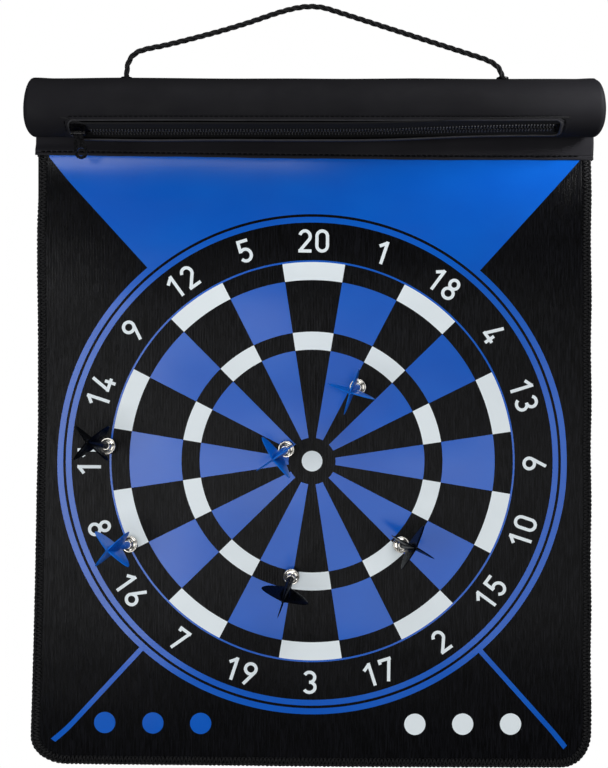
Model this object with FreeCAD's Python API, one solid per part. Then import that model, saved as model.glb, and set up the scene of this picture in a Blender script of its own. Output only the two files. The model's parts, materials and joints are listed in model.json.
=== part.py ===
import FreeCAD, Part
import math
import os

# A magnetic dartboard that hangs on a wall by a cord.
#
# The board is a flexible magnetic sheet with a printed cloth face and an overlocked edge.
# Its top edge is sewn into a leather-cloth header, which hangs from a round zipped pouch.
# Six darts with magnet tips stand on the face, and they are kept in the pouch when not in use.
#
# All sizes are in millimetres.  The origin is where the nail holds the cord, under the cord's
# highest point.  +X is to the right of a person who looks at the face, +Y goes into the wall
# and +Z is up.

V = FreeCAD.Vector
X_AXIS = V(1, 0, 0)
Y_AXIS = V(0, 1, 0)
Z_AXIS = V(0, 0, 1)

# ---------------------------------------------------------------- driving dimensions

WALL_Y = 4.0                 # the plane of the wall that the object hangs against

# The pouch is a round tube of leather cloth, tangent to the wall plane at its back.
TUBE_R = 18.5
TUBE_Y = WALL_Y - TUBE_R
TUBE_Z = -69.6
TUBE_HALF = 181.0            # half the tube's length, without its domed ends
TUBE_WALL = 1.2
END_DOME = 6.0               # how far each end cap bulges out of the tube
END_WALL = 1.4
END_STRAIGHT = 0.6
END_CORNER_H = 2.9           # how far the cap's round corner is out where it is 1.9 in from the wall
END_SHOULDER = 6.3           # from the tube's wall in to where the cap's dome starts
END_SAG = 1.25
STIFFENER_T = 0.8

# The zip.  Angles are round the tube, from straight out at the front towards its underside.
ZIP_ANGLE = 60.0
WINDOW_TOP = 38.0
WINDOW_BOTTOM = 82.0
WINDOW_LEFT = -157.0
WINDOW_RIGHT = 157.5
BINDING_W = 4.0              # width of the folded edge round the window, in degrees
BINDING_T = 0.55
TAPE_TOP = 30.0
TAPE_BOTTOM = 90.0
TAPE_T = 0.6
TEETH_LEFT = -144.0
TEETH_RIGHT = 154.0
TOOTH_PITCH = 2.0
TOOTH_W = 1.15
TOOTH_ROOT = 3.0             # from the middle of the zip to the back of a row of teeth
TOOTH_BEAD = 2.1
TOOTH_TIP = 0.7
TOOTH_LOW = 15.9             # distances from the tube's axis
TOOTH_HIGH = 17.7
STOP_HIGH = 16.9             # the stops past the slider lie under the leather cloth

# The slider and its pull tab, at the closed end of the zip.
SLIDER_X = -151.0
SLIDER_L = 11.0
SLIDER_HALF_W = 4.6
SLIDER_UNDER_HALF_W = 4.2
SLIDER_TOP_LOW = TOOTH_HIGH + 0.35
SLIDER_TOP_T = 1.4
SLIDER_UNDER_HIGH = TOOTH_LOW - 0.4
SLIDER_UNDER_T = 1.3
SLIDER_WEB_T = 0.7
CROWN_BAR_R = 0.9
CROWN_BAR_H = 2.3            # from the slider's top to the middle of the bar
CROWN_GAP_HALF = 3.2
CROWN_LEG = 1.4
TAB_EYE_CLEARANCE = 0.08
TAB_EYE_R = 1.7
TAB_EYE_HALF = 2.6
TAB_T = 1.2
TAB_NECK_HALF = 2.9
TAB_END_R = 4.4
TAB_LEAN = 2.0               # how far the tab's end has been bent to the right
TAB_LENGTH = 16.6
TAB_HOLE_R = 2.6

# The board hangs from the neck, and folds about a line across the neck.
FACE_Y = 1.6
FACE_T = 0.5
BACKING_T = 0.5
BOARD_HALF = 183.3
BOARD_BOTTOM = -500.8
BOARD_CORNER_R = 17.0
FOLD_Y = 2.3
FOLD_Z = -92.5
FOLD_GAP = 1.5
NECK_FRONT = 0.6
NECK_TOP = -78.0
NECK_THICK_BOTTOM = -88.0
NECK_HALF = 184.0
NECK_TONGUE_HALF_T = 0.9
HEADER_BOTTOM = -98.9
HEADER_T = 0.9
OVERLOCK_W = 5.0             # width of the edge's band on the face
OVERLOCK_OUT = 0.7
OVERLOCK_T = 0.5
STITCH_Z = -96.5
STITCH_L = 2.7
STITCH_PITCH = 3.6
STITCH_W = 0.7
STITCH_T = 0.35

# The hanging cord.
CORD_R = 1.65
EYELET_X = (-121.8, 122.2)
EYELET_R = 3.9
EYELET_BARREL_R = 2.5
EYELET_BORE_R = 1.75
EYELET_TOP = -50.1
EYELET_BOTTOM = -54.4
CORD_END_Z = -54.6
KNOT_R = 3.7
KNOT_H = 6.0

# The cord's route, from the stopper knot at the left to the one at the right.
CORD_ROUTE = [
    (-121.8, -14.5, -54.6),
    (-121.8, -14.5, -47.8),
    (-121.2, -14.1, -40.2),
    (-117.0, -13.1, -33.5),
    (-108.6, -12.0, -29.9),
    (-95.5, -10.4, -27.5),
    (-16.0, -0.9, 0.2),
    (2.0, 0.0, 2.42),
    (17.0, -1.0, -2.7),
    (104.0, -10.4, -33.9),
    (113.2, -11.9, -37.8),
    (119.4, -13.2, -42.0),
    (122.2, -14.45, -48.2),
    (122.2, -14.5, -54.6),
]
ROUTE_ARC_SHARE = 0.45       # each arc starts this share of the shorter run before its corner

# The darts.  Lengths run along a dart, from the middle of its domed magnet.
MAGNET_R = 4.6
MAGNET_DOME_R = 14.0
MAGNET_H = 3.0
MAGNET_GAP = 0.3             # between the magnet and the face
CUP_R = 5.1
CUP_FRONT = 1.1
CUP_SHOULDER = 3.6
CUP_NECK_R = 3.0
CUP_NECK = 5.6
CUP_RING_R = 2.9
CUP_BACK = 8.2
BARREL_R = 2.35
BARREL_WAIST_R = 1.9
BARREL_END = 24.0
FLIGHT_FRONT = 19.0
FLIGHT_TIP = 36.0
FLIGHT_TIP_R = 15.4
FLIGHT_END = 45.0
FLIGHT_HUB_R = 1.5
FIN_T = 0.6
FIN_COUNT = 4
DART_REACH = 42.0            # how far out the lean of each dart is given at

# name: (x and z on the face, lean in x and z at DART_REACH, turn of the fins in degrees)
DARTS = {
    "dart_1": (27.1, -251.7, -7.4, -3.7, -28.5),
    "dart_2": (-20.4, -292.9, -8.1, -4.4, 23.0),
    "dart_3": (-123.9, -354.1, -7.8, 2.2, 35.5),
    "dart_4": (59.0, -353.9, 6.0, 4.3, -20.0),
    "dart_5": (-16.3, -378.2, -5.0, -8.4, -25.5),
    "dart_6": (-137.9, -288.6, -5.7, 5.0, 37.0),
}

# ---------------------------------------------------------------- helpers


def save(name, shape):
    shape.exportStep("parts/" + name + ".step")
    print("%-24s volume %10.1f mm3, solids %d" % (name, shape.Volume, len(shape.Solids)))


def box(x0, x1, y0, y1, z0, z1):
    return Part.makeBox(x1 - x0, y1 - y0, z1 - z0, V(x0, y0, z0))


def polygon_face(points):
    return Part.Face(Part.makePolygon([V(*p) for p in points] + [V(*points[0])]))


def round_tube(x, radius, degrees):
    """The point at a distance from the pouch's axis and an angle below straight forward."""
    a = math.radians(degrees)
    return V(x, TUBE_Y - radius * math.cos(a), TUBE_Z - radius * math.sin(a))


def tube_sector(r_in, r_out, start, end, x0, x1):
    """A strip of tube wall between two angles and two places along the pouch."""
    middle = (start + end) / 2
    outer = Part.Arc(round_tube(x0, r_out, start), round_tube(x0, r_out, middle),
                     round_tube(x0, r_out, end)).toShape()
    inner = Part.Arc(round_tube(x0, r_in, end), round_tube(x0, r_in, middle),
                     round_tube(x0, r_in, start)).toShape()
    side_a = Part.makeLine(round_tube(x0, r_out, end), round_tube(x0, r_in, end))
    side_b = Part.makeLine(round_tube(x0, r_in, start), round_tube(x0, r_out, start))
    face = Part.Face(Part.Wire([outer, side_a, inner, side_b]))
    return face.extrude(V(x1 - x0, 0, 0))


def tube_cylinder(radius, x0, x1):
    return Part.makeCylinder(radius, x1 - x0, V(x0, TUBE_Y, TUBE_Z), X_AXIS)


def on_zip(shape):
    """Moves a shape from the zip's own axes (X along, Y up the tube, Z out) to the pouch."""
    turn = FreeCAD.Rotation(X_AXIS, 90.0 + ZIP_ANGLE)
    placed = shape.copy()
    placed.Placement = FreeCAD.Placement(V(0, TUBE_Y, TUBE_Z), turn)
    return placed


def revolved(profile, axis=Z_AXIS):
    """A solid of revolution from points (radius, height), or arcs given as three points."""
    edges = []
    for step in profile:
        pts = [V(r, 0, h) for r, h in step]
        if len(pts) == 3:
            edges.append(Part.Arc(*pts).toShape())
        else:
            edges.append(Part.makeLine(*pts))
    face = Part.Face(Part.Wire(edges))
    return face.revolve(V(0, 0, 0), axis, 360)


# ---------------------------------------------------------------- the pouch


def pouch_shell():
    shell = tube_cylinder(TUBE_R, -TUBE_HALF, TUBE_HALF)
    shell = shell.cut(tube_cylinder(TUBE_R - TUBE_WALL, -TUBE_HALF, TUBE_HALF))
    window = tube_sector(TUBE_R - 3, TUBE_R + 3, WINDOW_TOP, WINDOW_BOTTOM,
                         WINDOW_LEFT, WINDOW_RIGHT)
    shell = shell.cut(window)
    for x in EYELET_X:
        shell = shell.cut(eyelet_hole(x))
    return shell


def eyelet_hole(x):
    return Part.makeCylinder(EYELET_BARREL_R, TUBE_R, V(x, TUBE_Y, TUBE_Z + 5), Z_AXIS)


def pouch_stiffener():
    """A sheet rolled inside the leather cloth, open where the zip is."""
    outer = TUBE_R - TUBE_WALL
    sheet = tube_sector(outer - STIFFENER_T, outer, TAPE_BOTTOM + 4, 360 + TAPE_TOP - 4,
                        -TUBE_HALF + 1, TUBE_HALF - 1)
    for x in EYELET_X:
        sheet = sheet.cut(eyelet_hole(x))
    return sheet


def dome(edge_r, edge_h, top_h):
    """Three points of an arc from a cap's shoulder to its middle, centred on the axis."""
    sag = top_h - edge_h
    ball_r = (edge_r ** 2 + sag ** 2) / (2 * sag)
    half = edge_r / 2
    half_h = top_h - ball_r + math.sqrt(ball_r ** 2 - half ** 2)
    return (edge_r, edge_h), (half, half_h), (0, top_h)


def pouch_end(side):
    """A domed cap, hollow, that closes one end of the tube (side is -1 or 1)."""
    r = TUBE_R
    w = END_WALL
    shoulder_r = r - END_SHOULDER
    shoulder_h = END_DOME - END_SAG
    inner_h = shoulder_h - w
    inner_dome = dome(shoulder_r, inner_h, END_DOME - w)
    cap = revolved([
        ((r, 0), (r, END_STRAIGHT)),
        ((r, END_STRAIGHT), (r - 1.9, END_CORNER_H), (shoulder_r, shoulder_h)),
        dome(shoulder_r, shoulder_h, END_DOME),
        ((0, END_DOME), (0, END_DOME - w)),
        tuple(reversed(inner_dome)),
        ((shoulder_r, inner_h), (r - w - 1.9, END_CORNER_H - 0.9), (r - w, END_STRAIGHT)),
        ((r - w, END_STRAIGHT), (r - w, 0)),
        ((r - w, 0), (r, 0)),
    ])
    turn = FreeCAD.Rotation(Y_AXIS, 90 * side)
    cap.Placement = FreeCAD.Placement(V(side * TUBE_HALF, TUBE_Y, TUBE_Z), turn)
    return cap


def neck_upper():
    """The leather cloth that runs from the back of the tube down to the fold."""
    block = box(-NECK_HALF, NECK_HALF, NECK_FRONT, WALL_Y, NECK_THICK_BOTTOM, NECK_TOP)
    block = block.cut(tube_cylinder(TUBE_R, -NECK_HALF - 1, NECK_HALF + 1))
    tongue = box(-NECK_HALF, NECK_HALF, FOLD_Y - NECK_TONGUE_HALF_T, FOLD_Y + NECK_TONGUE_HALF_T,
                 FOLD_Z + FOLD_GAP, NECK_THICK_BOTTOM)
    return block.fuse(tongue).removeSplitter()


def zip_window_binding():
    """The turned edge of leather cloth round the zip's window."""
    grow = BINDING_W
    outer = tube_sector(TUBE_R, TUBE_R + BINDING_T, WINDOW_TOP - grow, WINDOW_BOTTOM + grow,
                        WINDOW_LEFT - 1.5, WINDOW_RIGHT + 1.5)
    hole = tube_sector(TUBE_R - 1, TUBE_R + 2, WINDOW_TOP, WINDOW_BOTTOM,
                       WINDOW_LEFT, WINDOW_RIGHT)
    return outer.cut(hole)


def zip_tape(upper):
    outer = TUBE_R - TUBE_WALL
    edge = math.degrees(math.asin((TOOTH_TIP + 0.3) / outer))
    if upper:
        start, end = TAPE_TOP, ZIP_ANGLE - edge
    else:
        start, end = ZIP_ANGLE + edge, TAPE_BOTTOM
    return tube_sector(outer - TAPE_T, outer, start, end, WINDOW_LEFT - 6, WINDOW_RIGHT + 6)


def zip_teeth(upper):
    """A row of teeth on the bead that grips the edge of its tape."""
    side = 1 if upper else -1
    shift = 0 if upper else TOOTH_PITCH / 2
    outline = [(TEETH_LEFT, side * TOOTH_ROOT, TOOTH_LOW)]
    x = TEETH_LEFT + shift
    while x + TOOTH_W < TEETH_RIGHT:
        outline.append((x, side * TOOTH_BEAD, TOOTH_LOW))
        outline.append((x, side * TOOTH_TIP, TOOTH_LOW))
        outline.append((x + TOOTH_W, side * TOOTH_TIP, TOOTH_LOW))
        outline.append((x + TOOTH_W, side * TOOTH_BEAD, TOOTH_LOW))
        x += TOOTH_PITCH
    outline.append((TEETH_RIGHT, side * TOOTH_BEAD, TOOTH_LOW))
    outline.append((TEETH_RIGHT, side * TOOTH_ROOT, TOOTH_LOW))
    if not upper:
        outline.insert(1, (TEETH_LEFT, side * TOOTH_BEAD, TOOTH_LOW))
    comb = polygon_face(outline).extrude(V(0, 0, TOOTH_HIGH - TOOTH_LOW))
    return on_zip(comb)


def zip_stop_open_end():
    """The stop that holds the two tapes together at the end where the zip opens to."""
    block = box(TEETH_RIGHT + 0.3, TEETH_RIGHT + 2.9, -TOOTH_ROOT, TOOTH_ROOT,
                TOOTH_LOW - 0.2, TOOTH_HIGH + 0.2)
    return on_zip(block)


def zip_stops_closed_end():
    """Two small stops past the slider, one on the edge of each tape."""
    left = SLIDER_X - SLIDER_L / 2 - 2.3
    blocks = []
    for side in (-1, 1):
        low, high = sorted((side * (TOOTH_TIP + 0.2), side * TOOTH_ROOT))
        blocks.append(box(left, left + 1.6, low, high, TOOTH_LOW, STOP_HIGH))
    return on_zip(Part.makeCompound(blocks))


def slider_plate(half_width, low, thickness):
    """A plate with rounded ends, in the zip's own axes."""
    half = SLIDER_L / 2
    round_r = half_width * 0.55
    plate = box(SLIDER_X - half, SLIDER_X + half, -half_width, half_width, low, low + thickness)
    upright = [e for e in plate.Edges
               if abs(e.Vertexes[0].Point.z - e.Vertexes[1].Point.z) > thickness / 2]
    return plate.makeFillet(round_r, upright)


def slider_body():
    """Two plates, above and below the teeth, joined by a web between the rows."""
    half = SLIDER_L / 2
    top = slider_plate(SLIDER_HALF_W, SLIDER_TOP_LOW, SLIDER_TOP_T)
    under = slider_plate(SLIDER_UNDER_HALF_W, SLIDER_UNDER_HIGH - SLIDER_UNDER_T, SLIDER_UNDER_T)
    web = box(SLIDER_X - half + 1.2, SLIDER_X - half + 5.0, -SLIDER_WEB_T / 2, SLIDER_WEB_T / 2,
              SLIDER_UNDER_HIGH - 0.5, SLIDER_TOP_LOW + 0.5)
    body = top.fuse(under).fuse(web)
    for side in (-1, 1):
        low, high = sorted((side * (SLIDER_HALF_W - 1.0), side * SLIDER_HALF_W))
        body = body.fuse(box(SLIDER_X - 2.6, SLIDER_X + 2.6, low, high,
                             SLIDER_TOP_LOW - 0.9, SLIDER_TOP_LOW + 0.5))
    return on_zip(body.removeSplitter())


def crown_bar_height():
    return SLIDER_TOP_LOW + SLIDER_TOP_T + CROWN_BAR_H


def slider_crown():
    """The bridge on the slider that the pull tab hangs on."""
    low = SLIDER_TOP_LOW + SLIDER_TOP_T
    middle = crown_bar_height()
    reach = CROWN_GAP_HALF + CROWN_LEG
    bar = Part.makeCylinder(CROWN_BAR_R, 2 * reach, V(SLIDER_X - reach, 0, middle), X_AXIS)
    crown = bar
    for side in (-1, 1):
        x0, x1 = sorted((SLIDER_X + side * CROWN_GAP_HALF, SLIDER_X + side * reach))
        leg = box(x0, x1, -1.3, 1.3, low, middle)
        cap = Part.makeCylinder(1.3, x1 - x0, V(x0, 0, middle), X_AXIS)
        crown = crown.fuse(leg).fuse(cap)
    return on_zip(crown.removeSplitter())


def pull_tab():
    """A tab that hangs straight down from the crown's bar, with a hole near its end."""
    centre = round_tube(SLIDER_X, crown_bar_height(), ZIP_ANGLE)
    y = centre.y
    z = centre.z
    end_x = SLIDER_X + TAB_LEAN
    end_z = z - TAB_LENGTH + TAB_END_R
    neck_z = z - TAB_EYE_R + 0.4
    outline = Part.Wire([
        Part.makeLine(V(SLIDER_X - TAB_NECK_HALF, y, neck_z), V(end_x - TAB_END_R, y, end_z)),
        Part.Arc(V(end_x - TAB_END_R, y, end_z), V(end_x, y, end_z - TAB_END_R),
                 V(end_x + TAB_END_R, y, end_z)).toShape(),
        Part.makeLine(V(end_x + TAB_END_R, y, end_z), V(SLIDER_X + TAB_NECK_HALF, y, neck_z)),
        Part.makeLine(V(SLIDER_X + TAB_NECK_HALF, y, neck_z), V(SLIDER_X - TAB_NECK_HALF, y, neck_z)),
    ])
    plate = Part.Face(outline).extrude(V(0, TAB_T, 0))
    plate.translate(V(0, -TAB_T / 2, 0))
    eye = Part.makeCylinder(TAB_EYE_R, 2 * TAB_EYE_HALF, V(SLIDER_X - TAB_EYE_HALF, y, z), X_AXIS)
    tab = plate.fuse(eye)
    bore = Part.makeCylinder(CROWN_BAR_R + TAB_EYE_CLEARANCE, 4 * TAB_EYE_HALF,
                             V(SLIDER_X - 2 * TAB_EYE_HALF, y, z), X_AXIS)
    hole = Part.makeCylinder(TAB_HOLE_R, 4 * TAB_T, V(end_x, y - 2 * TAB_T, end_z), Y_AXIS)
    return tab.cut(bore).cut(hole).removeSplitter()


# ---------------------------------------------------------------- the cord


def route_wire(points):
    """Straight runs joined by tangent arcs, each as large as its two runs allow."""
    points = [V(*p) for p in points]
    edges = []
    radii = []
    start = points[0]
    for before, corner, after in zip(points, points[1:], points[2:]):
        back = (before - corner).normalize()
        ahead = (after - corner).normalize()
        turn = math.pi - back.getAngle(ahead)
        tangent = ROUTE_ARC_SHARE * min((before - corner).Length, (after - corner).Length)
        radius = tangent / math.tan(turn / 2)
        radii.append(radius)
        enter = corner + back * tangent
        leave = corner + ahead * tangent
        inward = (back + ahead).normalize()
        to_centre = math.hypot(radius, tangent)
        middle = corner + inward * (to_centre - radius)
        edges.append(Part.LineSegment(start, enter).toShape())
        edges.append(Part.Arc(enter, middle, leave).toShape())
        start = leave
    edges.append(Part.LineSegment(start, points[-1]).toShape())
    return Part.Wire(edges), radii


def hanging_cord():
    wire, radii = route_wire(CORD_ROUTE)
    end = V(*CORD_ROUTE[0])
    section = Part.Wire(Part.makeCircle(CORD_R, end, Z_AXIS))
    tube = wire.makePipeShell([section], True, True)
    expected = math.pi * CORD_R ** 2 * wire.Length
    print("cord length %.1f mm" % wire.Length)
    print("cord arc radii " + ", ".join("%.1f" % r for r in radii))
    print("cord volume %.1f mm3, section times length %.1f mm3" % (tube.Volume, expected))
    return tube


def eyelet(x):
    """A grommet through the top of the pouch, with a flange outside and one inside."""
    inner_r = TUBE_R - TUBE_WALL - STIFFENER_T
    height = EYELET_TOP - EYELET_BOTTOM
    outline = Part.makeCylinder(EYELET_R, height, V(x, TUBE_Y, EYELET_BOTTOM), Z_AXIS)
    outside = outline.cut(tube_cylinder(TUBE_R, x - 9, x + 9))
    inside = outline.common(tube_cylinder(inner_r, x - 9, x + 9))
    barrel = Part.makeCylinder(EYELET_BARREL_R, height, V(x, TUBE_Y, EYELET_BOTTOM), Z_AXIS)
    bore = Part.makeCylinder(EYELET_BORE_R, 3 * height, V(x, TUBE_Y, EYELET_BOTTOM - height), Z_AXIS)
    return barrel.fuse(outside).fuse(inside).cut(bore).removeSplitter()


def stopper_knot(x):
    """The knot that keeps the end of the cord inside the pouch."""
    flat = KNOT_R * 0.55
    profile = [
        ((0, 0), (flat, 0)),
        ((flat, 0), (KNOT_R, -KNOT_H / 2), (flat, -KNOT_H)),
        ((flat, -KNOT_H), (0, -KNOT_H)),
        ((0, -KNOT_H), (0, 0)),
    ]
    knot = revolved(profile)
    knot.translate(V(x, TUBE_Y, CORD_END_Z))
    return knot


# ---------------------------------------------------------------- the board


def sheet(inset, y0, y1, top):
    """A slab with the board's outline: square at the top and round at the bottom corners."""
    half = BOARD_HALF - inset
    low = BOARD_BOTTOM + inset
    r = BOARD_CORNER_R - inset
    k = r * (1 - math.sqrt(0.5))
    wire = Part.Wire([
        Part.makeLine(V(half, y0, top), V(-half, y0, top)),
        Part.makeLine(V(-half, y0, top), V(-half, y0, low + r)),
        Part.Arc(V(-half, y0, low + r), V(-half + k, y0, low + k), V(-half + r, y0, low)).toShape(),
        Part.makeLine(V(-half + r, y0, low), V(half - r, y0, low)),
        Part.Arc(V(half - r, y0, low), V(half - k, y0, low + k), V(half, y0, low + r)).toShape(),
        Part.makeLine(V(half, y0, low + r), V(half, y0, top)),
    ])
    return Part.Face(wire).extrude(V(0, y1 - y0, 0))


def header_top():
    return FOLD_Z - FOLD_GAP


def printed_face():
    return sheet(0, FACE_Y, FACE_Y + FACE_T, header_top() - 0.2)


def magnetic_sheet():
    return sheet(0, FACE_Y + FACE_T, WALL_Y - BACKING_T, header_top() - 0.2)


def backing_film():
    return sheet(OVERLOCK_W, WALL_Y - BACKING_T, WALL_Y, HEADER_BOTTOM)


def header_strip_front():
    return box(-BOARD_HALF, BOARD_HALF, FACE_Y - HEADER_T, FACE_Y, HEADER_BOTTOM, header_top())


def header_strip_rear():
    return box(-BOARD_HALF, BOARD_HALF, WALL_Y - BACKING_T, WALL_Y, HEADER_BOTTOM, header_top())


def header_stitching():
    """A row of stitches along the lower edge of the header."""
    stitches = []
    x = -BOARD_HALF + 3
    front = FACE_Y - HEADER_T
    while x + STITCH_L < BOARD_HALF - 2:
        stitches.append(box(x, x + STITCH_L, front - STITCH_T, front,
                            STITCH_Z - STITCH_W / 2, STITCH_Z + STITCH_W / 2))
        x += STITCH_PITCH
    return Part.makeCompound(stitches)


def edge_overlock():
    """Thread wrapped round the sheet's edge, flush with the backing at the rear."""
    front = FACE_Y - OVERLOCK_T
    band = sheet(-OVERLOCK_OUT, front, WALL_Y, HEADER_BOTTOM)
    band = band.cut(sheet(0, FACE_Y, WALL_Y - BACKING_T, HEADER_BOTTOM + 1))
    return band.cut(sheet(OVERLOCK_W, front - 1, WALL_Y + 1, HEADER_BOTTOM + 1))


# ---------------------------------------------------------------- the darts


def dart_placement(x, z, lean_x, lean_z):
    """Stands a dart on the face: its own +Z becomes its leaning axis."""
    axis = V(lean_x, -DART_REACH, lean_z).normalize()
    dome_centre = V(x, FACE_Y - MAGNET_GAP - MAGNET_DOME_R, z)
    tip = dome_centre - axis * MAGNET_DOME_R
    return FreeCAD.Placement(tip, FreeCAD.Rotation(Z_AXIS, axis)), axis


def dart_magnet():
    sag = MAGNET_DOME_R - math.sqrt(MAGNET_DOME_R ** 2 - MAGNET_R ** 2)
    half = MAGNET_R / 2
    half_sag = MAGNET_DOME_R - math.sqrt(MAGNET_DOME_R ** 2 - half ** 2)
    return revolved([
        ((0, 0), (half, half_sag), (MAGNET_R, sag)),
        ((MAGNET_R, sag), (MAGNET_R, MAGNET_H)),
        ((MAGNET_R, MAGNET_H), (0, MAGNET_H)),
        ((0, MAGNET_H), (0, 0)),
    ])


def dart_cup():
    """The metal cup that holds the magnet, with a ringed socket for the barrel."""
    return revolved([
        ((MAGNET_R, MAGNET_H), (MAGNET_R, CUP_FRONT)),
        ((MAGNET_R, CUP_FRONT), (CUP_R, CUP_FRONT + 0.5)),
        ((CUP_R, CUP_FRONT + 0.5), (CUP_R, CUP_SHOULDER)),
        ((CUP_R, CUP_SHOULDER), (4.5, 5.0), (CUP_NECK_R, CUP_NECK)),
        ((CUP_NECK_R, CUP_NECK), (CUP_NECK_R - 0.4, CUP_NECK + 0.5)),
        ((CUP_NECK_R - 0.4, CUP_NECK + 0.5), (CUP_RING_R, CUP_NECK + 0.9)),
        ((CUP_RING_R, CUP_NECK + 0.9), (CUP_RING_R, CUP_BACK)),
        ((CUP_RING_R, CUP_BACK), (BARREL_WAIST_R, CUP_BACK)),
        ((BARREL_WAIST_R, CUP_BACK), (BARREL_WAIST_R, CUP_SHOULDER + 0.6)),
        ((BARREL_WAIST_R, CUP_SHOULDER + 0.6), (0, CUP_SHOULDER + 0.6)),
        ((0, CUP_SHOULDER + 0.6), (0, MAGNET_H)),
        ((0, MAGNET_H), (MAGNET_R, MAGNET_H)),
    ])


def dart_barrel():
    return revolved([
        ((0, CUP_SHOULDER + 0.6), (BARREL_WAIST_R, CUP_SHOULDER + 0.6)),
        ((BARREL_WAIST_R, CUP_SHOULDER + 0.6), (BARREL_WAIST_R, CUP_BACK)),
        ((BARREL_WAIST_R, CUP_BACK), (BARREL_R, CUP_BACK)),
        ((BARREL_R, CUP_BACK), (BARREL_R, BARREL_END - 6)),
        ((BARREL_R, BARREL_END - 6), (FLIGHT_HUB_R + 0.3, BARREL_END)),
        ((FLIGHT_HUB_R + 0.3, BARREL_END), (0, BARREL_END)),
        ((0, BARREL_END), (0, CUP_SHOULDER + 0.6)),
    ])


def dart_flight(barrel, turn):
    """Four leaf-shaped fins on a slim hub that follows the barrel."""
    t = FIN_T / 2
    outline = Part.Wire([
        Part.makeLine(V(0, -t, FLIGHT_FRONT), V(BARREL_R, -t, FLIGHT_FRONT)),
        Part.Arc(V(BARREL_R, -t, FLIGHT_FRONT), V(10.8, -t, FLIGHT_FRONT + 5.8),
                 V(FLIGHT_TIP_R - 1.9, -t, FLIGHT_TIP - 4.4)).toShape(),
        Part.Arc(V(FLIGHT_TIP_R - 1.9, -t, FLIGHT_TIP - 4.4), V(FLIGHT_TIP_R, -t, FLIGHT_TIP),
                 V(FLIGHT_TIP_R - 1.9, -t, FLIGHT_TIP + 4.2)).toShape(),
        Part.Arc(V(FLIGHT_TIP_R - 1.9, -t, FLIGHT_TIP + 4.2), V(7.8, -t, FLIGHT_END - 1.5),
                 V(0, -t, FLIGHT_END)).toShape(),
        Part.makeLine(V(0, -t, FLIGHT_END), V(0, -t, FLIGHT_FRONT)),
    ])
    fin = Part.Face(outline).extrude(V(0, FIN_T, 0))
    hub = Part.makeCone(FLIGHT_HUB_R + 0.3, 0.5, FLIGHT_END - BARREL_END, V(0, 0, BARREL_END))
    flight = hub
    for i in range(FIN_COUNT):
        blade = fin.copy()
        blade.rotate(V(0, 0, 0), Z_AXIS, turn + i * 360 / FIN_COUNT)
        flight = flight.fuse(blade)
    return flight.cut(barrel).removeSplitter()


def save_dart(name, x, z, lean_x, lean_z, turn):
    placement, axis = dart_placement(x, z, lean_x, lean_z)
    barrel = dart_barrel()
    pieces = {
        "magnet": dart_magnet(),
        "cup": dart_cup(),
        "barrel": barrel,
        "flight": dart_flight(barrel, turn),
    }
    for piece, shape in pieces.items():
        shape.Placement = placement
        save(name + "_" + piece, shape)
    print("%s axis %.6f %.6f %.6f" % (name, axis.x, axis.y, axis.z))


# ---------------------------------------------------------------- every piece


def main():
    os.makedirs("parts", exist_ok=True)
    save("pouch_shell", pouch_shell())
    save("pouch_stiffener", pouch_stiffener())
    save("pouch_end_left", pouch_end(-1))
    save("pouch_end_right", pouch_end(1))
    save("neck_upper", neck_upper())
    save("zip_window_binding", zip_window_binding())
    save("zip_tape_upper", zip_tape(True))
    save("zip_tape_lower", zip_tape(False))
    save("zip_teeth_upper", zip_teeth(True))
    save("zip_teeth_lower", zip_teeth(False))
    save("zip_stop_open_end", zip_stop_open_end())
    save("zip_stops_closed_end", zip_stops_closed_end())
    save("slider_body", slider_body())
    save("slider_crown", slider_crown())
    save("pull_tab", pull_tab())
    save("eyelet_left", eyelet(EYELET_X[0]))
    save("eyelet_right", eyelet(EYELET_X[1]))
    save("hanging_cord", hanging_cord())
    save("cord_knot_left", stopper_knot(EYELET_X[0]))
    save("cord_knot_right", stopper_knot(EYELET_X[1]))
    save("header_strip_front", header_strip_front())
    save("header_strip_rear", header_strip_rear())
    save("header_stitching", header_stitching())
    save("printed_face", printed_face())
    save("magnetic_sheet", magnetic_sheet())
    save("backing_film", backing_film())
    save("edge_overlock", edge_overlock())
    for name, place in DARTS.items():
        save_dart(name, *place)


main()
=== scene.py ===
import json
import math
import bpy
import numpy as np
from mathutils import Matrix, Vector
from mathutils.geometry import delaunay_2d_cdt


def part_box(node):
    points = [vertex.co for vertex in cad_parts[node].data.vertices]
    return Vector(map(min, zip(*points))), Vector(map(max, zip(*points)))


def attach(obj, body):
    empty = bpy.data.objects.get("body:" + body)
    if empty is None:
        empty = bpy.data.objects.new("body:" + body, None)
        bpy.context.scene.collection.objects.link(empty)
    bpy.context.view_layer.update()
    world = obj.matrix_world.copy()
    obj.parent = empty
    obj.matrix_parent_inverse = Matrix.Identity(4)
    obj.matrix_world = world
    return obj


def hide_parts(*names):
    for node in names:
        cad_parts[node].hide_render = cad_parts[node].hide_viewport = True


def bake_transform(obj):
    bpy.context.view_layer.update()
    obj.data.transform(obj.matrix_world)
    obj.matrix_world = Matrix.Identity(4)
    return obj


# The looks of the magnetic dartboard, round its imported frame.

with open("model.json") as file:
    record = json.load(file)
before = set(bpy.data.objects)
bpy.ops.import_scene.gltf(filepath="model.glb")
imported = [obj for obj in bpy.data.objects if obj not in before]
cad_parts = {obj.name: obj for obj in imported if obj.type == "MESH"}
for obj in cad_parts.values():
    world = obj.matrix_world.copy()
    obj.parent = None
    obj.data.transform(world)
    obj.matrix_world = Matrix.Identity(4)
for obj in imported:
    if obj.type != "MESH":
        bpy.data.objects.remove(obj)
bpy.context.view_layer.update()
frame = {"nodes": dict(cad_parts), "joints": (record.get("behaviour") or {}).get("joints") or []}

MM = 0.001
TAU = 2 * math.pi
scene = bpy.context.scene


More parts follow.
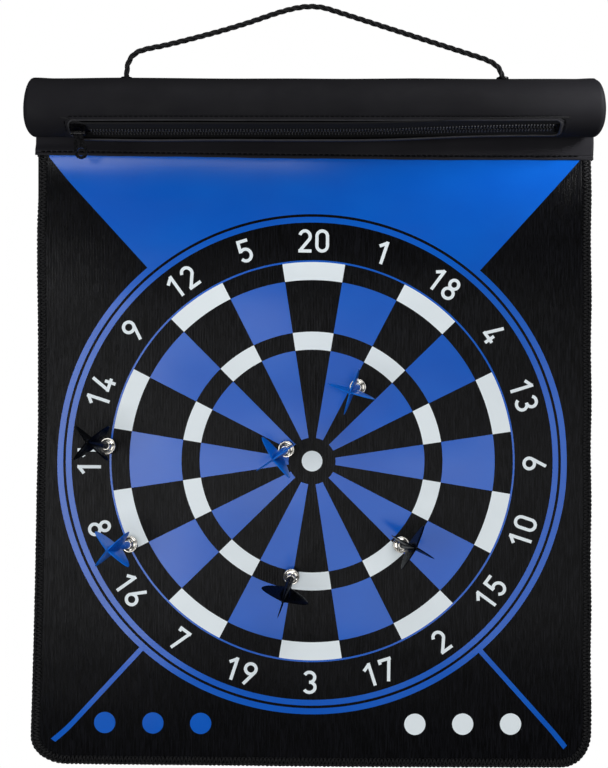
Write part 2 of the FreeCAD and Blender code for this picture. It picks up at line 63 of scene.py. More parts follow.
def node_box(name):
    """A CAD node's lowest and highest corner in millimetres."""
    low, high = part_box(name)
    return np.array(low) / MM, np.array(high) / MM


def smooth_step(low, high, value):
    """0 up to low and 1 from high on, with a smooth rise between; low may be the larger."""
    t = np.clip((np.asarray(value, float) - low) / (high - low), 0, 1)
    return t * t * (3 - 2 * t)


# ---------------------------------------------------------------- camera and light

CAMERA_PLACE = (-6.65, -707.0, -248.8)
LENS = 50.0
SENSOR = 36.0
DIFFUSER_Y = -760
WORLD_LIGHT = 0.06


def make_camera():
    data = bpy.data.cameras.new("camera")
    data.lens = LENS
    data.sensor_width = SENSOR
    data.clip_start = 0.01
    data.clip_end = 20
    camera = bpy.data.objects.new("camera", data)
    camera.location = Vector(CAMERA_PLACE) * MM
    camera.rotation_euler = (math.radians(90), 0, 0)
    scene.collection.objects.link(camera)
    scene.camera = camera


def make_area_light(name, place, target, size, power, spread=180):
    data = bpy.data.lights.new(name, "AREA")
    data.shape = "RECTANGLE"
    data.size = size[0] * MM
    data.size_y = size[1] * MM
    data.energy = power
    data.spread = math.radians(spread)
    light = bpy.data.objects.new(name, data)
    light.location = Vector(place) * MM
    light.rotation_euler = (Vector(target) - Vector(place)).to_track_quat("-Z", "Y").to_euler()
    light.visible_camera = False
    scene.collection.objects.link(light)


def make_softbox(name, left, right, low, high, glow):
    """One panel of the diffuser in front of the board, as bright per square metre as its glow."""
    centre = ((left + right) / 2, (low + high) / 2)
    size = (right - left, high - low)
    power = glow * size[0] * size[1] * MM * MM
    make_area_light(name, (centre[0], DIFFUSER_Y, centre[1]), (centre[0], 0, centre[1]), size, power)


def make_world():
    """White where the camera sees past the object, and a much dimmer white as light."""
    world = bpy.data.worlds.new("studio")
    scene.world = world
    world.use_nodes = True
    nodes = world.node_tree.nodes
    links = world.node_tree.links
    nodes.clear()
    output = nodes.new("ShaderNodeOutputWorld")
    mix = nodes.new("ShaderNodeMixShader")
    rays = nodes.new("ShaderNodeLightPath")
    links.new(rays.outputs["Is Camera Ray"], mix.inputs["Fac"])
    for slot, strength in ((1, WORLD_LIGHT), (2, 1.0)):
        background = nodes.new("ShaderNodeBackground")
        background.inputs["Color"].default_value = (1, 1, 1, 1)
        background.inputs["Strength"].default_value = strength
        links.new(background.outputs["Background"], mix.inputs[slot])
    links.new(mix.outputs["Shader"], output.inputs["Surface"])


def make_studio():
    scene.view_settings.view_transform = "Standard"
    scene.view_settings.look = "None"
    make_world()
    make_softbox("softbox_left", -760, -200, -630, -125, 9.4)
    make_softbox("softbox_top_left", -200, 0, -200, -130, 7.4)
    make_softbox("softbox_top_right", 0, 200, -200, -130, 1.6)
    make_softbox("softbox_upper", -200, 110, -320, -200, 2.5)
    make_softbox("softbox_upper_right", 110, 290, -320, -200, 0.7)
    make_softbox("softbox_middle_left", -200, 0, -400, -320, 8.2)
    make_softbox("softbox_middle", 0, 140, -400, -320, 4.6)
    make_softbox("softbox_middle_right", 140, 290, -400, -320, 7.0)
    make_softbox("softbox_low", -200, 290, -625, -400, 4.2)
    make_softbox("softbox_right", 290, 1140, -640, -100, 4.1)
    make_area_light("front_high", (330, -800, 560), (60, 0, -280), (900, 420), 4.45)
    make_area_light("front_low", (60, -400, -850), (20, 0, -400), (900, 90), 0.62)
    make_area_light("overhead", (0, -380, 700), (0, 0, -80), (900, 300), 2.2)
    make_area_light("side_right", (310, -120, -30), (180, -20, -66), (60, 60), 0.055, 45)
    make_area_light("side_left", (-330, -190, -150), (-150, -5, -88), (60, 60), 0.022, 60)
    make_area_light("back", (0, 1300, -330), (0, 0, -330), (700, 700), 7.0)


# ---------------------------------------------------------------- meshes


def add_mesh(name, points, faces, materials, face_material=None):
    """A smooth-shaded mesh object from points in millimetres."""
    mesh = bpy.data.meshes.new(name)
    mesh.from_pydata((np.asarray(points, float) * MM).tolist(), [], faces)
    for material in materials:
        mesh.materials.append(material)
    if face_material is not None:
        mesh.polygons.foreach_set("material_index", face_material)
    mesh.polygons.foreach_set("use_smooth", [True] * len(mesh.polygons))
    mesh.update()
    piece = bpy.data.objects.new(name, mesh)
    scene.collection.objects.link(piece)
    return piece


class Parts:
    """Gathers several small meshes into one."""

    def __init__(self):
        self.points = []
        self.faces = []
        self.materials = []
        self.count = 0

    def add(self, points, faces):
        """Adds a mesh, whose faces count its own points."""
        self.points.append(np.asarray(points, float))
        self.join([tuple(i + self.count for i in f) for f in faces])
        self.count += len(points)

    def add_ring(self, points):
        """Adds points alone, and says their numbers."""
        self.add(points, [])
        return list(range(self.count - len(points), self.count))

    def join(self, faces, material=0):
        """Adds faces between points that are already here."""
        self.faces.extend(faces)
        self.materials.extend([material] * len(faces))

    def make(self, name, materials):
        return add_mesh(name, np.concatenate(self.points), self.faces, materials, self.materials)


def grid_faces(rows, columns):
    """Quads over a grid of closed rings whose points are stored row by row."""
    faces = []
    for i in range(rows - 1):
        a = i * columns
        b = a + columns
        for j in range(columns):
            k = (j + 1) % columns
            faces.append((a + j, a + k, b + k, b + j))
    return faces


def end_caps(rows, columns):
    """The faces that close both ends of a grid of closed rings."""
    last = (rows - 1) * columns
    return [tuple(range(columns)), tuple(range(last + columns - 1, last - 1, -1))]


def ring_faces(first, second, flip=False):
    """Quads between two closed rings of point numbers."""
    faces = []
    for k in range(len(second)):
        m = (k + 1) % len(second)
        quad = (first[k], first[m], second[m], second[k])
        faces.append(quad[::-1] if flip else quad)
    return faces


def flipped(faces):
    return [f[::-1] for f in faces]


def swept(xs, profile):
    """A profile of (y, z) points, repeated at each x."""
    points = np.empty((len(xs), len(profile), 3))
    points[..., 0] = xs[:, None]
    points[..., 1:] = profile
    return points


def circle(centre, radius, count):
    turn = np.arange(count) * TAU / count
    return np.array(centre) + radius * np.stack([np.cos(turn), np.sin(turn)], axis=1)


def path_frames(path):
    """Two directions square to a path at each of its points, with no twist between points."""
    tangents = np.gradient(path, axis=0)
    tangents /= np.linalg.norm(tangents, axis=1)[:, None]
    side = np.cross(tangents[0], (0.31, 0.83, 0.46))
    sides = []
    for tangent in tangents:
        side = side - tangent * np.dot(side, tangent)
        side = side / np.linalg.norm(side)
        sides.append(side)
    sides = np.array(sides)
    return tangents, sides, np.cross(tangents, sides)


def tube(path, radius, sides, flutes=0, flute_depth=0.0, flute_turn=0.0):
    """Points and faces of a round tube with closed ends, fluted like plied yarn if asked."""
    path = np.asarray(path, float)
    _, across, up = path_frames(path)
    radius = np.broadcast_to(np.asarray(radius, float), (len(path),))
    angle = np.arange(sides) * TAU / sides
    turn = np.linspace(0, flute_turn, len(path))
    reach = radius[:, None] * (1 + flute_depth * np.cos(flutes * (angle[None, :] + turn[:, None])))
    ring = np.cos(angle)[None, :, None] * across[:, None] + np.sin(angle)[None, :, None] * up[:, None]
    points = (path[:, None] + ring * reach[:, :, None]).reshape(-1, 3)
    return points, grid_faces(len(path), sides) + flipped(end_caps(len(path), sides))


def turned(profile, sides):
    """A solid of revolution about +Z from (radius, height) points that start and end on the axis."""
    profile = np.asarray(profile, float)
    angle = np.arange(sides) * TAU / sides
    rings = profile[1:-1]
    points = np.empty((len(rings), sides, 3))
    points[..., 0] = rings[:, :1] * np.cos(angle)
    points[..., 1] = rings[:, :1] * np.sin(angle)
    points[..., 2] = rings[:, 1:]
    points = points.reshape(-1, 3)
    first = len(points)
    points = np.concatenate([points, [[0, 0, profile[0, 1]], [0, 0, profile[-1, 1]]]])
    faces = grid_faces(len(rings), sides)
    last = (len(rings) - 1) * sides
    for j in range(sides):
        k = (j + 1) % sides
        faces.append((first, k, j))
        faces.append((first + 1, last + j, last + k))
    return points, faces


def capsule(start, end, radius, sides=6):
    """A short stitch of thread: fat in the middle, with its ends drawn in."""
    start = np.asarray(start, float)
    end = np.asarray(end, float)
    share = np.array([0.0, 0.12, 0.5, 0.88, 1.0])
    size = np.array([0.35, 0.85, 1.0, 0.85, 0.35]) * radius
    return tube(start + (end - start) * share[:, None], size, sides)


# ---------------------------------------------------------------- materials


class Shader:
    """A material with its nodes, and short ways to add the ones used here."""

    def __init__(self, name, colour, roughness, specular=0.5, **settings):
        self.material = bpy.data.materials.new(name)
        self.material.use_nodes = True
        tree = self.material.node_tree
        self.nodes = tree.nodes
        self.links = tree.links
        self.bsdf = self.nodes["Principled BSDF"]
        self.fill(self.bsdf, Base_Color=(*colour, 1), Roughness=roughness,
                  Specular_IOR_Level=specular, **settings)
        self.coordinates = self.nodes.new("ShaderNodeTexCoord")
        self.height = None

    def fill(self, node, **inputs):
        for socket, value in inputs.items():
            node.inputs[socket.replace("_", " ")].default_value = value

    def add(self, kind, **inputs):
        node = self.nodes.new("ShaderNode" + kind)
        self.fill(node, **inputs)
        return node

    def place(self, node, per_mm):
        """Lays a texture by cells per millimetre, the same on every axis or one number each."""
        x, y, z = per_mm if isinstance(per_mm, tuple) else (per_mm, per_mm, per_mm)
        mapping = self.add("Mapping", Scale=(x / MM, y / MM, z / MM))
        self.links.new(self.coordinates.outputs["Object"], mapping.inputs["Vector"])
        self.links.new(mapping.outputs["Vector"], node.inputs["Vector"])

    def noise(self, per_mm, detail, roughness=0.5):
        node = self.add("TexNoise", Scale=1.0, Detail=detail, Roughness=roughness)
        self.place(node, per_mm)
        return node.outputs["Fac"]

    def pebbles(self, per_mm):
        node = self.add("TexVoronoi", Scale=1.0)
        node.feature = "SMOOTH_F1"
        self.place(node, per_mm)
        return node.outputs["Distance"]

    def waves(self, per_mm, direction, distortion):
        node = self.add("TexWave", Scale=1.0, Distortion=distortion)
        node.bands_direction = direction
        self.place(node, per_mm)
        return node.outputs["Fac"]

    def remap(self, value, low, high, from_low=0.3, from_high=0.7):
        node = self.add("MapRange", From_Min=from_low, From_Max=from_high, To_Min=low, To_Max=high)
        self.links.new(value, node.inputs["Value"])
        return node.outputs["Result"]

    def colour_between(self, value, dark, light):
        node = self.nodes.new("ShaderNodeMix")
        node.data_type = "RGBA"
        self.fill(node, A=(*dark, 1), B=(*light, 1))
        self.links.new(value, node.inputs["Factor"])
        self.links.new(node.outputs["Result"], self.bsdf.inputs["Base Color"])

    def rough_by(self, value):
        self.links.new(value, self.bsdf.inputs["Roughness"])

    def bump(self, value, distance_mm, strength=1.0):
        """Adds one layer of relief; later layers lie on the earlier ones."""
        node = self.add("Bump", Strength=strength, Distance=distance_mm * MM)
        self.links.new(value, node.inputs["Height"])
        if self.height is not None:
            self.links.new(self.height, node.inputs["Normal"])
        self.height = node.outputs["Normal"]
        self.links.new(self.height, self.bsdf.inputs["Normal"])

    def mottle(self, per_mm, detail, dark, light, from_low=0.3, from_high=0.7):
        """Lets the colour drift between two shades."""
        drift = self.remap(self.noise(per_mm, detail), 0, 1, from_low, from_high)
        self.colour_between(drift, dark, light)

    def wear(self, per_mm, detail, low, high):
        """Lets the roughness drift between two values."""
        self.rough_by(self.remap(self.noise(per_mm, detail), low, high))

    def grain(self, per_mm, detail, distance_mm, strength=1.0):
        """Adds relief from a noise."""
        self.bump(self.noise(per_mm, detail), distance_mm, strength)


def leather_material(name, dark, light):
    s = Shader(name, light, 0.72, 0.13)
    s.mottle((0.018, 0.05, 0.05), 3, dark, light)
    s.wear(0.05, 4, 0.62, 0.80)
    s.grain((0.05, 0.10, 0.10), 2, 0.25, 0.6)
    s.bump(s.pebbles(1.5), 0.045, 0.7)
    s.bump(s.noise(4.0, 3, 0.6), 0.015, 0.6)
    return s.material


def fold_material():
    """The same leather cloth where it is turned over a hem: stretched, so smoother and glossier; its
    colour is painted about twice as pale, as a painted highlight along the window's rolled lips.
    """
    s = Shader("leather_fold_painted_highlight", (0.020, 0.020, 0.023), 0.5, 0.4)
    s.mottle(0.12, 3, (0.015, 0.015, 0.018), (0.027, 0.027, 0.031))
    s.bump(s.pebbles(1.5), 0.03, 0.6)
    return s.material


def cut_edge_material():
    s = Shader("leather_cut_edge", (0.050, 0.045, 0.045), 0.85, 0.2)
    s.mottle((2.5, 2.5, 6), 3, (0.030, 0.028, 0.029), (0.105, 0.095, 0.092))
    s.grain(5, 3, 0.05)
    return s.material


def board_relief(s):
    """The slow unevenness of the hanging sheet, which breaks up its reflections."""
    s.bump(s.noise((0.006, 0.006, 0.011), 2, 0.4), 1.4)


def black_cloth_material():
    """Printed black on a ribbed cloth: fine upright ribs with uneven streaks."""
    s = Shader("black_print", (0.0016, 0.0018, 0.0026), 0.34, 0.085)
    streaks = s.noise((1.9, 1.9, 0.10), 3, 0.6)
    s.colour_between(s.remap(streaks, 0, 1, 0.42, 0.68), (0.0001, 0.0001, 0.0003),
                     (0.0066, 0.0069, 0.0090))
    s.rough_by(s.remap(streaks, 0.29, 0.18, 0.38, 0.68))
    board_relief(s)
    s.bump(s.waves((0.30, 0, 0), "X", 0.8), 0.08, 0.9)
    s.grain((1.6, 1.6, 0.12), 2, 0.12, 0.8)
    return s.material


def ink_material(name, dark, light, roughness, specular):
    """A smooth coat of ink, through which the ribs barely show."""
    s = Shader(name, light, roughness, specular)
    s.mottle((0.02, 0.02, 0.035), 3, dark, light)
    s.wear((0.012, 0.012, 0.03), 2, roughness - 0.02, roughness + 0.03)
    board_relief(s)
    s.grain((1.3, 1.3, 0.12), 2, 0.02, 0.5)
    return s.material


def thread_material(name, dark, light, specular):
    s = Shader(name, dark, 0.5, specular)
    s.mottle(1.6, 3, dark, light)
    s.grain(7, 2, 0.03, 0.8)
    return s.material


def cord_material():
    s = Shader("cord", (0.004, 0.004, 0.005), 0.6, 0.22)
    s.mottle(1.4, 3, (0.0016, 0.0016, 0.0020), (0.0080, 0.0080, 0.0095))
    s.grain(6, 3, 0.04, 0.8)
    return s.material


def tape_material():
    """The zip's woven tape: fine ribs across it, repeated along it."""
    s = Shader("zip_tape", (0.005, 0.005, 0.006), 0.78, 0.25)
    weave = s.waves((0.5, 0, 0), "X", 0.3)
    s.colour_between(weave, (0.0032, 0.0032, 0.004), (0.0075, 0.0075, 0.0085))
    s.bump(weave, 0.08, 0.7)
    s.grain(4, 2, 0.03, 0.6)
    return s.material


def zip_teeth_material():
    s = Shader("zip_teeth", (0.014, 0.014, 0.016), 0.28, 1.0)
    s.colour_between(s.noise(1.2, 2), (0.008, 0.008, 0.010), (0.024, 0.024, 0.027))
    s.wear(2.0, 2, 0.20, 0.36)
    s.grain(5, 2, 0.01, 0.5)
    return s.material


def painted_metal_material():
    """Black enamel on cast metal, worn a little brighter in patches."""
    s = Shader("black_metal", (0.0010, 0.0010, 0.0013), 0.28, 0.22)
    s.mottle(0.35, 4, (0.0008, 0.0008, 0.0012), (0.0050, 0.0050, 0.0060), 0.45, 0.8)
    s.wear(0.8, 3, 0.20, 0.36)
    s.grain(3, 2, 0.012, 0.5)
    return s.material


def chrome_material():
    s = Shader("chrome", (0.72, 0.69, 0.63), 0.14, Metallic=1.0)
    s.mottle(0.25, 3, (0.58, 0.555, 0.51), (0.80, 0.775, 0.72))
    s.wear(1.2, 3, 0.08, 0.19)
    s.grain(0.8, 2, 0.01, 0.2)
    return s.material


def plastic_material(name, dark, light, roughness=0.34, specular=0.4):
    """Moulded plastic with a faint flow pattern."""
    s = Shader(name, light, roughness, specular)
    s.mottle(0.12, 3, dark, light)
    s.wear(0.6, 3, roughness - 0.06, roughness + 0.1)
    s.grain(2.5, 2, 0.012, 0.5)
    return s.material


def rubber_material():
    s = Shader("magnetic_rubber", (0.012, 0.012, 0.013), 0.75, 0.3)
    s.mottle(0.4, 3, (0.008, 0.008, 0.009), (0.018, 0.018, 0.019))
    s.grain(3, 3, 0.02, 0.6)
    return s.material


def backing_material():
    """A dull film with a fine woven emboss."""
    s = Shader("backing", (0.016, 0.016, 0.018), 0.66, 0.35)
    s.mottle(0.05, 4, (0.011, 0.011, 0.013), (0.022, 0.022, 0.024))
    s.bump(s.waves((0.32, 0, 0), "X", 0.4), 0.05, 0.5)
    s.bump(s.waves((0, 0, 0.32), "Z", 0.4), 0.05, 0.5)
    s.grain(0.02, 2, 1.0, 0.6)
    return s.material


LEATHER = leather_material("leather_cloth", (0.0066, 0.0064, 0.0082), (0.0092, 0.0090, 0.0114))
# The neck's leather is the tube's cloth painted about half again paler: painted light on the neck, which
# lies in shade under the tube.
NECK_LEATHER_PAINTED_LIGHT = leather_material("leather_neck_painted_light", (0.0095, 0.0092, 0.0116), (0.0145, 0.0141, 0.0172))
# The fold leather: the tube's cloth painted paler, as a painted highlight round the window's lips.
LEATHER_FOLD_PAINTED_HIGHLIGHT = fold_material()
CUT_EDGE = cut_edge_material()
BLACK_CLOTH = black_cloth_material()
BLUE_INK = ink_material("blue_ink", (0.0, 0.088, 0.50), (0.0, 0.102, 0.54), 0.17, 0.50)
WHITE_INK = ink_material("white_ink", (0.755, 0.825, 0.865), (0.80, 0.87, 0.905), 0.42, 0.30)
THREAD = thread_material("thread", (0.0008, 0.0008, 0.0012), (0.0052, 0.0054, 0.0066), 0.2)
STITCH = thread_material("stitch_thread", (0.0005, 0.0005, 0.0008), (0.0022, 0.0022, 0.0030), 0.06)
CORD = cord_material()
TAPE = tape_material()
TEETH = zip_teeth_material()
BLACK_METAL = painted_metal_material()
CHROME = chrome_material()
BLUE_PLASTIC = plastic_material("blue_plastic", (0.0, 0.085, 0.46), (0.001, 0.13, 0.62))
BLUE_FIN = plastic_material("blue_flight", (0.0, 0.110, 0.54), (0.001, 0.165, 0.72), 0.32, 0.22)
BLACK_PLASTIC = plastic_material("black_plastic", (0.0012, 0.0012, 0.0018),
                                 (0.0035, 0.0035, 0.0045), 0.34, 0.25)
BLACK_FIN = plastic_material("black_flight", (0.0004, 0.0005, 0.0010), (0.0014, 0.0016, 0.0028),
                             0.28, 0.03)
RUBBER = rubber_material()
BACKING = backing_material()

make_camera()
make_studio()

# ---------------------------------------------------------------- the hanging cord

CORD_ROUTE = [
    (-121.8, -14.5, -54.6),
    (-121.8, -14.5, -47.8),
    (-121.2, -14.1, -40.2),
    (-117.0, -13.1, -33.5),
    (-109.0, -12.0, -30.3),
    (-96.0, -10.4, -27.5),
    (-50.0, -4.9, -13.6),
    (-16.0, -0.9, -0.2),
    (2.0, 0.0, 2.0),
    (17.0, -1.0, -2.9),
    (104.0, -10.4, -34.3),
    (113.2, -11.9, -37.8),
    (119.4, -13.2, -42.0),
    (122.2, -14.45, -48.2),
    (122.2, -14.5, -54.6),
]
CORD_LAY = 17.0              # how far along the cord a strand goes once round it
STRANDS = 3
STRAND_R = 0.90
STRAND_OFFSET = 0.92         # from the cord's middle to a strand's middle
CORD_STEP = 0.55
KNOT_STRAND_R = 1.15


def spline_points(route):
    """The smooth line of a cord: points along the NURBS spline of its route."""
    data = bpy.data.curves.new("cord_route", "CURVE")
    data.dimensions = "3D"
    spline = data.splines.new("NURBS")
    spline.points.add(len(route) - 1)
    for point, place in zip(spline.points, route):
        point.co = (*[c * MM for c in place], 1)
    spline.order_u = 3
    spline.use_endpoint_u = True
    spline.resolution_u = 24
    carrier = bpy.data.objects.new("cord_route", data)
    mesh = bpy.data.meshes.new_from_object(carrier)
    points = np.array([v.co for v in mesh.vertices]) / MM
    bpy.data.meshes.remove(mesh)
    bpy.data.objects.remove(carrier)
    bpy.data.curves.remove(data)
    return points


def spaced(points, step):
    """The same line with its points at even steps."""
    along = np.concatenate([[0], np.cumsum(np.linalg.norm(np.diff(points, axis=0), axis=1))])
    count = max(2, int(round(along[-1] / step)) + 1)
    wanted = np.linspace(0, along[-1], count)
    return np.stack([np.interp(wanted, along, points[:, i]) for i in range(3)], axis=1)


def stopper_knot(side, node):
    """An overhand knot: a trefoil of the cord's own strand, inside the pouch."""
    low, high = node_box(node)
    centre = (low + high) / 2
    t = np.linspace(0, TAU, 121)[:-1]
    reach = (high[0] - low[0]) / 2
    rise = (high[2] - low[2]) / 2
    loop = np.stack([np.sin(t) + 2 * np.sin(2 * t), np.cos(t) - 2 * np.cos(2 * t), -np.sin(3 * t)],
                    axis=1)
    loop *= np.array([0.21 * reach, 0.21 * reach, 0.36 * rise])
    points, faces = tube(np.concatenate([loop, loop[:2]]) + centre, KNOT_STRAND_R, sides=10,
                         flutes=5, flute_depth=0.08, flute_turn=9)
    knot = add_mesh("stopper_knot_" + side, points, faces, [CORD])
    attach(knot, "pouch")
    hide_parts(node)
    return knot


def make_cord():
    """Strands plied round the cord's route, and a stopper knot at each end."""
    line = spaced(spline_points(CORD_ROUTE), CORD_STEP)
    _, across, up = path_frames(line)
    along = np.arange(len(line)) * CORD_STEP
    parts = Parts()
    for k in range(STRANDS):
        angle = TAU * (along / CORD_LAY + k / STRANDS)
        sway = 1 + 0.05 * np.sin(along / 3.1 + 2 * k)
        offset = np.cos(angle)[:, None] * across + np.sin(angle)[:, None] * up
        strand = line + offset * (STRAND_OFFSET * sway)[:, None]
        parts.add(*tube(strand, STRAND_R, sides=14, flutes=5, flute_depth=0.08,
                        flute_turn=-1.1 * along[-1]))
    rope = parts.make("hanging_cord_rope", [CORD])
    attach(rope, "pouch")
    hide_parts("hanging_cord")
    knots = [stopper_knot("left", "cord_knot_left"), stopper_knot("right", "cord_knot_right")]


# ---------------------------------------------------------------- the pouch

SHELL_LOW, SHELL_HIGH = node_box("pouch_shell")
TUBE_R = (SHELL_HIGH[1] - SHELL_LOW[1]) / 2
TUBE_Y = (SHELL_HIGH[1] + SHELL_LOW[1]) / 2
TUBE_Z = SHELL_HIGH[2] - TUBE_R
TUBE_HALF = SHELL_HIGH[0]
CAP_BULGE = node_box("pouch_end_right")[1][0] - TUBE_HALF
BINDING_LOW, BINDING_HIGH = node_box("zip_window_binding")
BINDING_W = 1.5
WINDOW_LEFT = BINDING_LOW[0] + BINDING_W
WINDOW_RIGHT = BINDING_HIGH[0] - BINDING_W
WINDOW_TOP = math.radians(38)
WINDOW_BOTTOM = math.radians(82)
WINDOW_CORNER = 4.0
TOPSTITCH_PITCH = 3.2
TOPSTITCH_LENGTH = 2.4
TOPSTITCH_INSET = 2.3        # from the window's edge to its line of topstitching
LIP_DROOP = 3.3              # how far the lower lip hangs out of round in the middle
# The band round the window that takes the fold leather, painted paler as a highlight.
FOLD_HIGHLIGHT_WIDTH = 0.75           # the width of the smoother leather at the window's edge


def round_tube(x, radius, angle):
    """Points at a distance from the tube's axis, at an angle below straight forward."""
    x, radius, angle = np.broadcast_arrays(x, radius, angle)
    return np.stack([x, TUBE_Y - radius * np.cos(angle), TUBE_Z - radius * np.sin(angle)], axis=-1)


def zip_sag(x):
    """How far the zip and its lower lip hang down, from 0 at the ends to 1."""
    return smooth_step(-162, -146, x) * (1 - smooth_step(15, 152, x))


def window_distance(x, s):
    """Distance outside the window's rounded outline, on the unrolled tube."""
    middle_x = (WINDOW_LEFT + WINDOW_RIGHT) / 2
    middle_s = TUBE_R * (WINDOW_TOP + WINDOW_BOTTOM) / 2
    half_x = (WINDOW_RIGHT - WINDOW_LEFT) / 2 - WINDOW_CORNER
    half_s = TUBE_R * (WINDOW_BOTTOM - WINDOW_TOP) / 2 - WINDOW_CORNER
    dx = np.abs(x - middle_x) - half_x
    ds = np.abs(s - middle_s) - half_s
    outside = np.hypot(np.maximum(dx, 0), np.maximum(ds, 0))
    return outside + np.minimum(np.maximum(dx, ds), 0) - WINDOW_CORNER


def leather_radius(x, s):
    """How far the pouch's skin is from the tube's axis: the tube, its creases and the zip's lips."""
    angle = s / TUBE_R
    lip = window_distance(x, s)
    radius = TUBE_R + 0.16 * np.sin(x / 37 + 1.3 * angle) + 0.10 * np.sin(x / 13.7 - 2 * angle)
    radius += 0.5 * smooth_step(168, 180, np.abs(x)) * (0.6 + 0.4 * np.cos(angle + 1.6))
    radius += 0.75 * np.exp(-(np.maximum(lip, 0) / 1.5) ** 2)
    radius -= 0.30 * np.exp(-((lip - TOPSTITCH_INSET) / 0.42) ** 2)
    radius += 0.09 * np.sin(TAU * x / TOPSTITCH_PITCH) * np.exp(-((lip - 2.6) / 1.6) ** 2)
    below = np.exp(-((np.degrees(angle) - 86) / 16) ** 2)
    radius += LIP_DROOP * zip_sag(x) * below * (1 + 0.06 * np.sin(x / 21))
    upper = np.exp(-((np.degrees(angle) + 90) / 60) ** 2)
    radius += (0.4 * np.exp(-((x + 132) / 24) ** 2) - 1.3 * smooth_step(60, 120, x)) * upper
    return radius


def rounded_corner(x, s):
    """Bends the grid's lines round each corner of the window."""
    for corner_x, side_x in ((WINDOW_LEFT, -1), (WINDOW_RIGHT, 1)):
        for corner_s, side_s in ((TUBE_R * WINDOW_TOP, -1), (TUBE_R * WINDOW_BOTTOM, 1)):
            dx = side_x * (x - corner_x) + WINDOW_CORNER
            ds = side_s * (s - corner_s) + WINDOW_CORNER
            reach = np.maximum(dx, ds)
            length = np.maximum(np.hypot(dx, ds), 1e-6)
            share = 1 - smooth_step(WINDOW_CORNER, 3 * WINDOW_CORNER, reach)
            share = np.where((dx > 0) & (ds > 0), share, 0)
            scale = 1 + share * (reach / length - 1)
            x = np.where(share > 0, corner_x + side_x * (dx * scale - WINDOW_CORNER), x)
            s = np.where(share > 0, corner_s + side_s * (ds * scale - WINDOW_CORNER), s)
    return x, s


def dense_steps(stops):
    """Values from one stop to the next, at the step given with each stretch."""
    values = [stops[0][0]]
    for (start, step), (end, _) in zip(stops, stops[1:]):
        count = max(1, int(round((end - start) / step)))
        values.extend(np.linspace(start, end, count + 1)[1:])
    return np.array(values)


def make_pouch():
    """The pouch's skin: a sheet round the tube, with the zip's window, its hem and two ends."""
    top = TUBE_R * WINDOW_TOP
    bottom = TUBE_R * WINDOW_BOTTOM
    girth = TUBE_R * TAU
    xs = dense_steps([(-TUBE_HALF, 1.4), (WINDOW_LEFT - 6, 0.5), (WINDOW_LEFT + 5, 0.8),
                      (WINDOW_RIGHT - 5, 0.5), (WINDOW_RIGHT + 6, 1.4), (TUBE_HALF, 1)])
    ss = dense_steps([(top, 0.7), (bottom, 0.45), (bottom + 5, 1.2), (bottom + 14, 2.2),
                      (top + girth - 8, 1.0), (top + girth - 5, 0.45), (top + girth, 1)])[:-1]
    window_rows = int(np.argmin(np.abs(ss - bottom)))
    grid_x, grid_s = np.meshgrid(xs, ss)
    wrapped = np.where(grid_s > top + girth / 2 + 20, grid_s - girth, grid_s)
    grid_x, wrapped = rounded_corner(grid_x, wrapped)
    radius = leather_radius(grid_x, wrapped)
    # The two ends lean a little out of square, the left one more.
    lean = np.where(grid_x < 0, -0.030, -0.024)
    tilt = lean * np.sin(wrapped / TUBE_R) * TUBE_R + np.where(grid_x < 0, 0.35, 0.0)
    placed_x = grid_x - np.sign(grid_x) * tilt * smooth_step(150, TUBE_HALF, np.abs(grid_x))
    points = round_tube(placed_x, radius, wrapped / TUBE_R)
    rows, columns = grid_x.shape
    left = int(np.argmin(np.abs(xs - WINDOW_LEFT)))
    right = int(np.argmin(np.abs(xs - WINDOW_RIGHT)))
    faces = []
    for i in range(rows):
        k = (i + 1) % rows
        for j in range(columns - 1):
            if i < window_rows and left <= j < right:
                continue
            faces.append((i * columns + j, i * columns + j + 1, k * columns + j + 1, k * columns + j))
    parts = Parts()
    parts.add(points.reshape(-1, 3), faces)
    # Faces within that band of the window take the fold leather, painted paler as a highlight.
    lip = window_distance(grid_x, wrapped).reshape(-1)[[f[0] for f in faces]]
    parts.materials = [1 if near else 0 for near in lip < FOLD_HIGHLIGHT_WIDTH]
    add_window_hem(parts, window_rows, left, right, columns, grid_x, wrapped)
    for side, column in ((-1, 0), (1, columns - 1)):
        add_end_cap(parts, side, points[:, column], np.arange(rows) * columns + column)
    # The skin's second material is the fold leather, painted paler as a highlight round the window.
    skin = parts.make("pouch_leather", [LEATHER, LEATHER_FOLD_PAINTED_HIGHLIGHT])
    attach(skin, "pouch")
    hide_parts("pouch_shell", "zip_window_binding", "pouch_end_left", "pouch_end_right")


def add_window_hem(parts, window_rows, left, right, columns, grid_x, grid_s):
    """The leather turned in round the window: a rolled edge, painted paler as a highlight, then the hem
    behind it.
    """
    loop = [(0, j) for j in range(left, right)]
    loop += [(i, right) for i in range(window_rows)]
    loop += [(window_rows, j) for j in range(right, left, -1)]
    loop += [(i, left) for i in range(window_rows, 0, -1)]
    x = np.array([grid_x[i, j] for i, j in loop])
    s = np.array([grid_s[i, j] for i, j in loop])
    edge = [i * columns + j for i, j in loop]
    along_x = np.roll(x, -1) - np.roll(x, 1)
    along_s = np.roll(s, -1) - np.roll(s, 1)
    length = np.hypot(along_x, along_s)
    inward_x = -along_s / length
    inward_s = along_x / length
    outer = leather_radius(x, s)
    rings = []
    for reach, drop in ((0.38, 0.10), (0.62, 0.42), (0.62, 0.85), (0.38, 1.18), (-0.2, 1.30),
                        (-2.6, 1.32)):
        angle = (s + inward_s * reach) / TUBE_R
        rings.append(parts.add_ring(round_tube(x + inward_x * reach, outer - drop, angle)))
    for first, second in zip([edge] + rings, rings):
        # Every band but the last takes the fold leather, painted paler as a highlight; the hem's last
        # band is plain leather.
        parts.join(ring_faces(first, second), 0 if second is rings[-1] else 1)


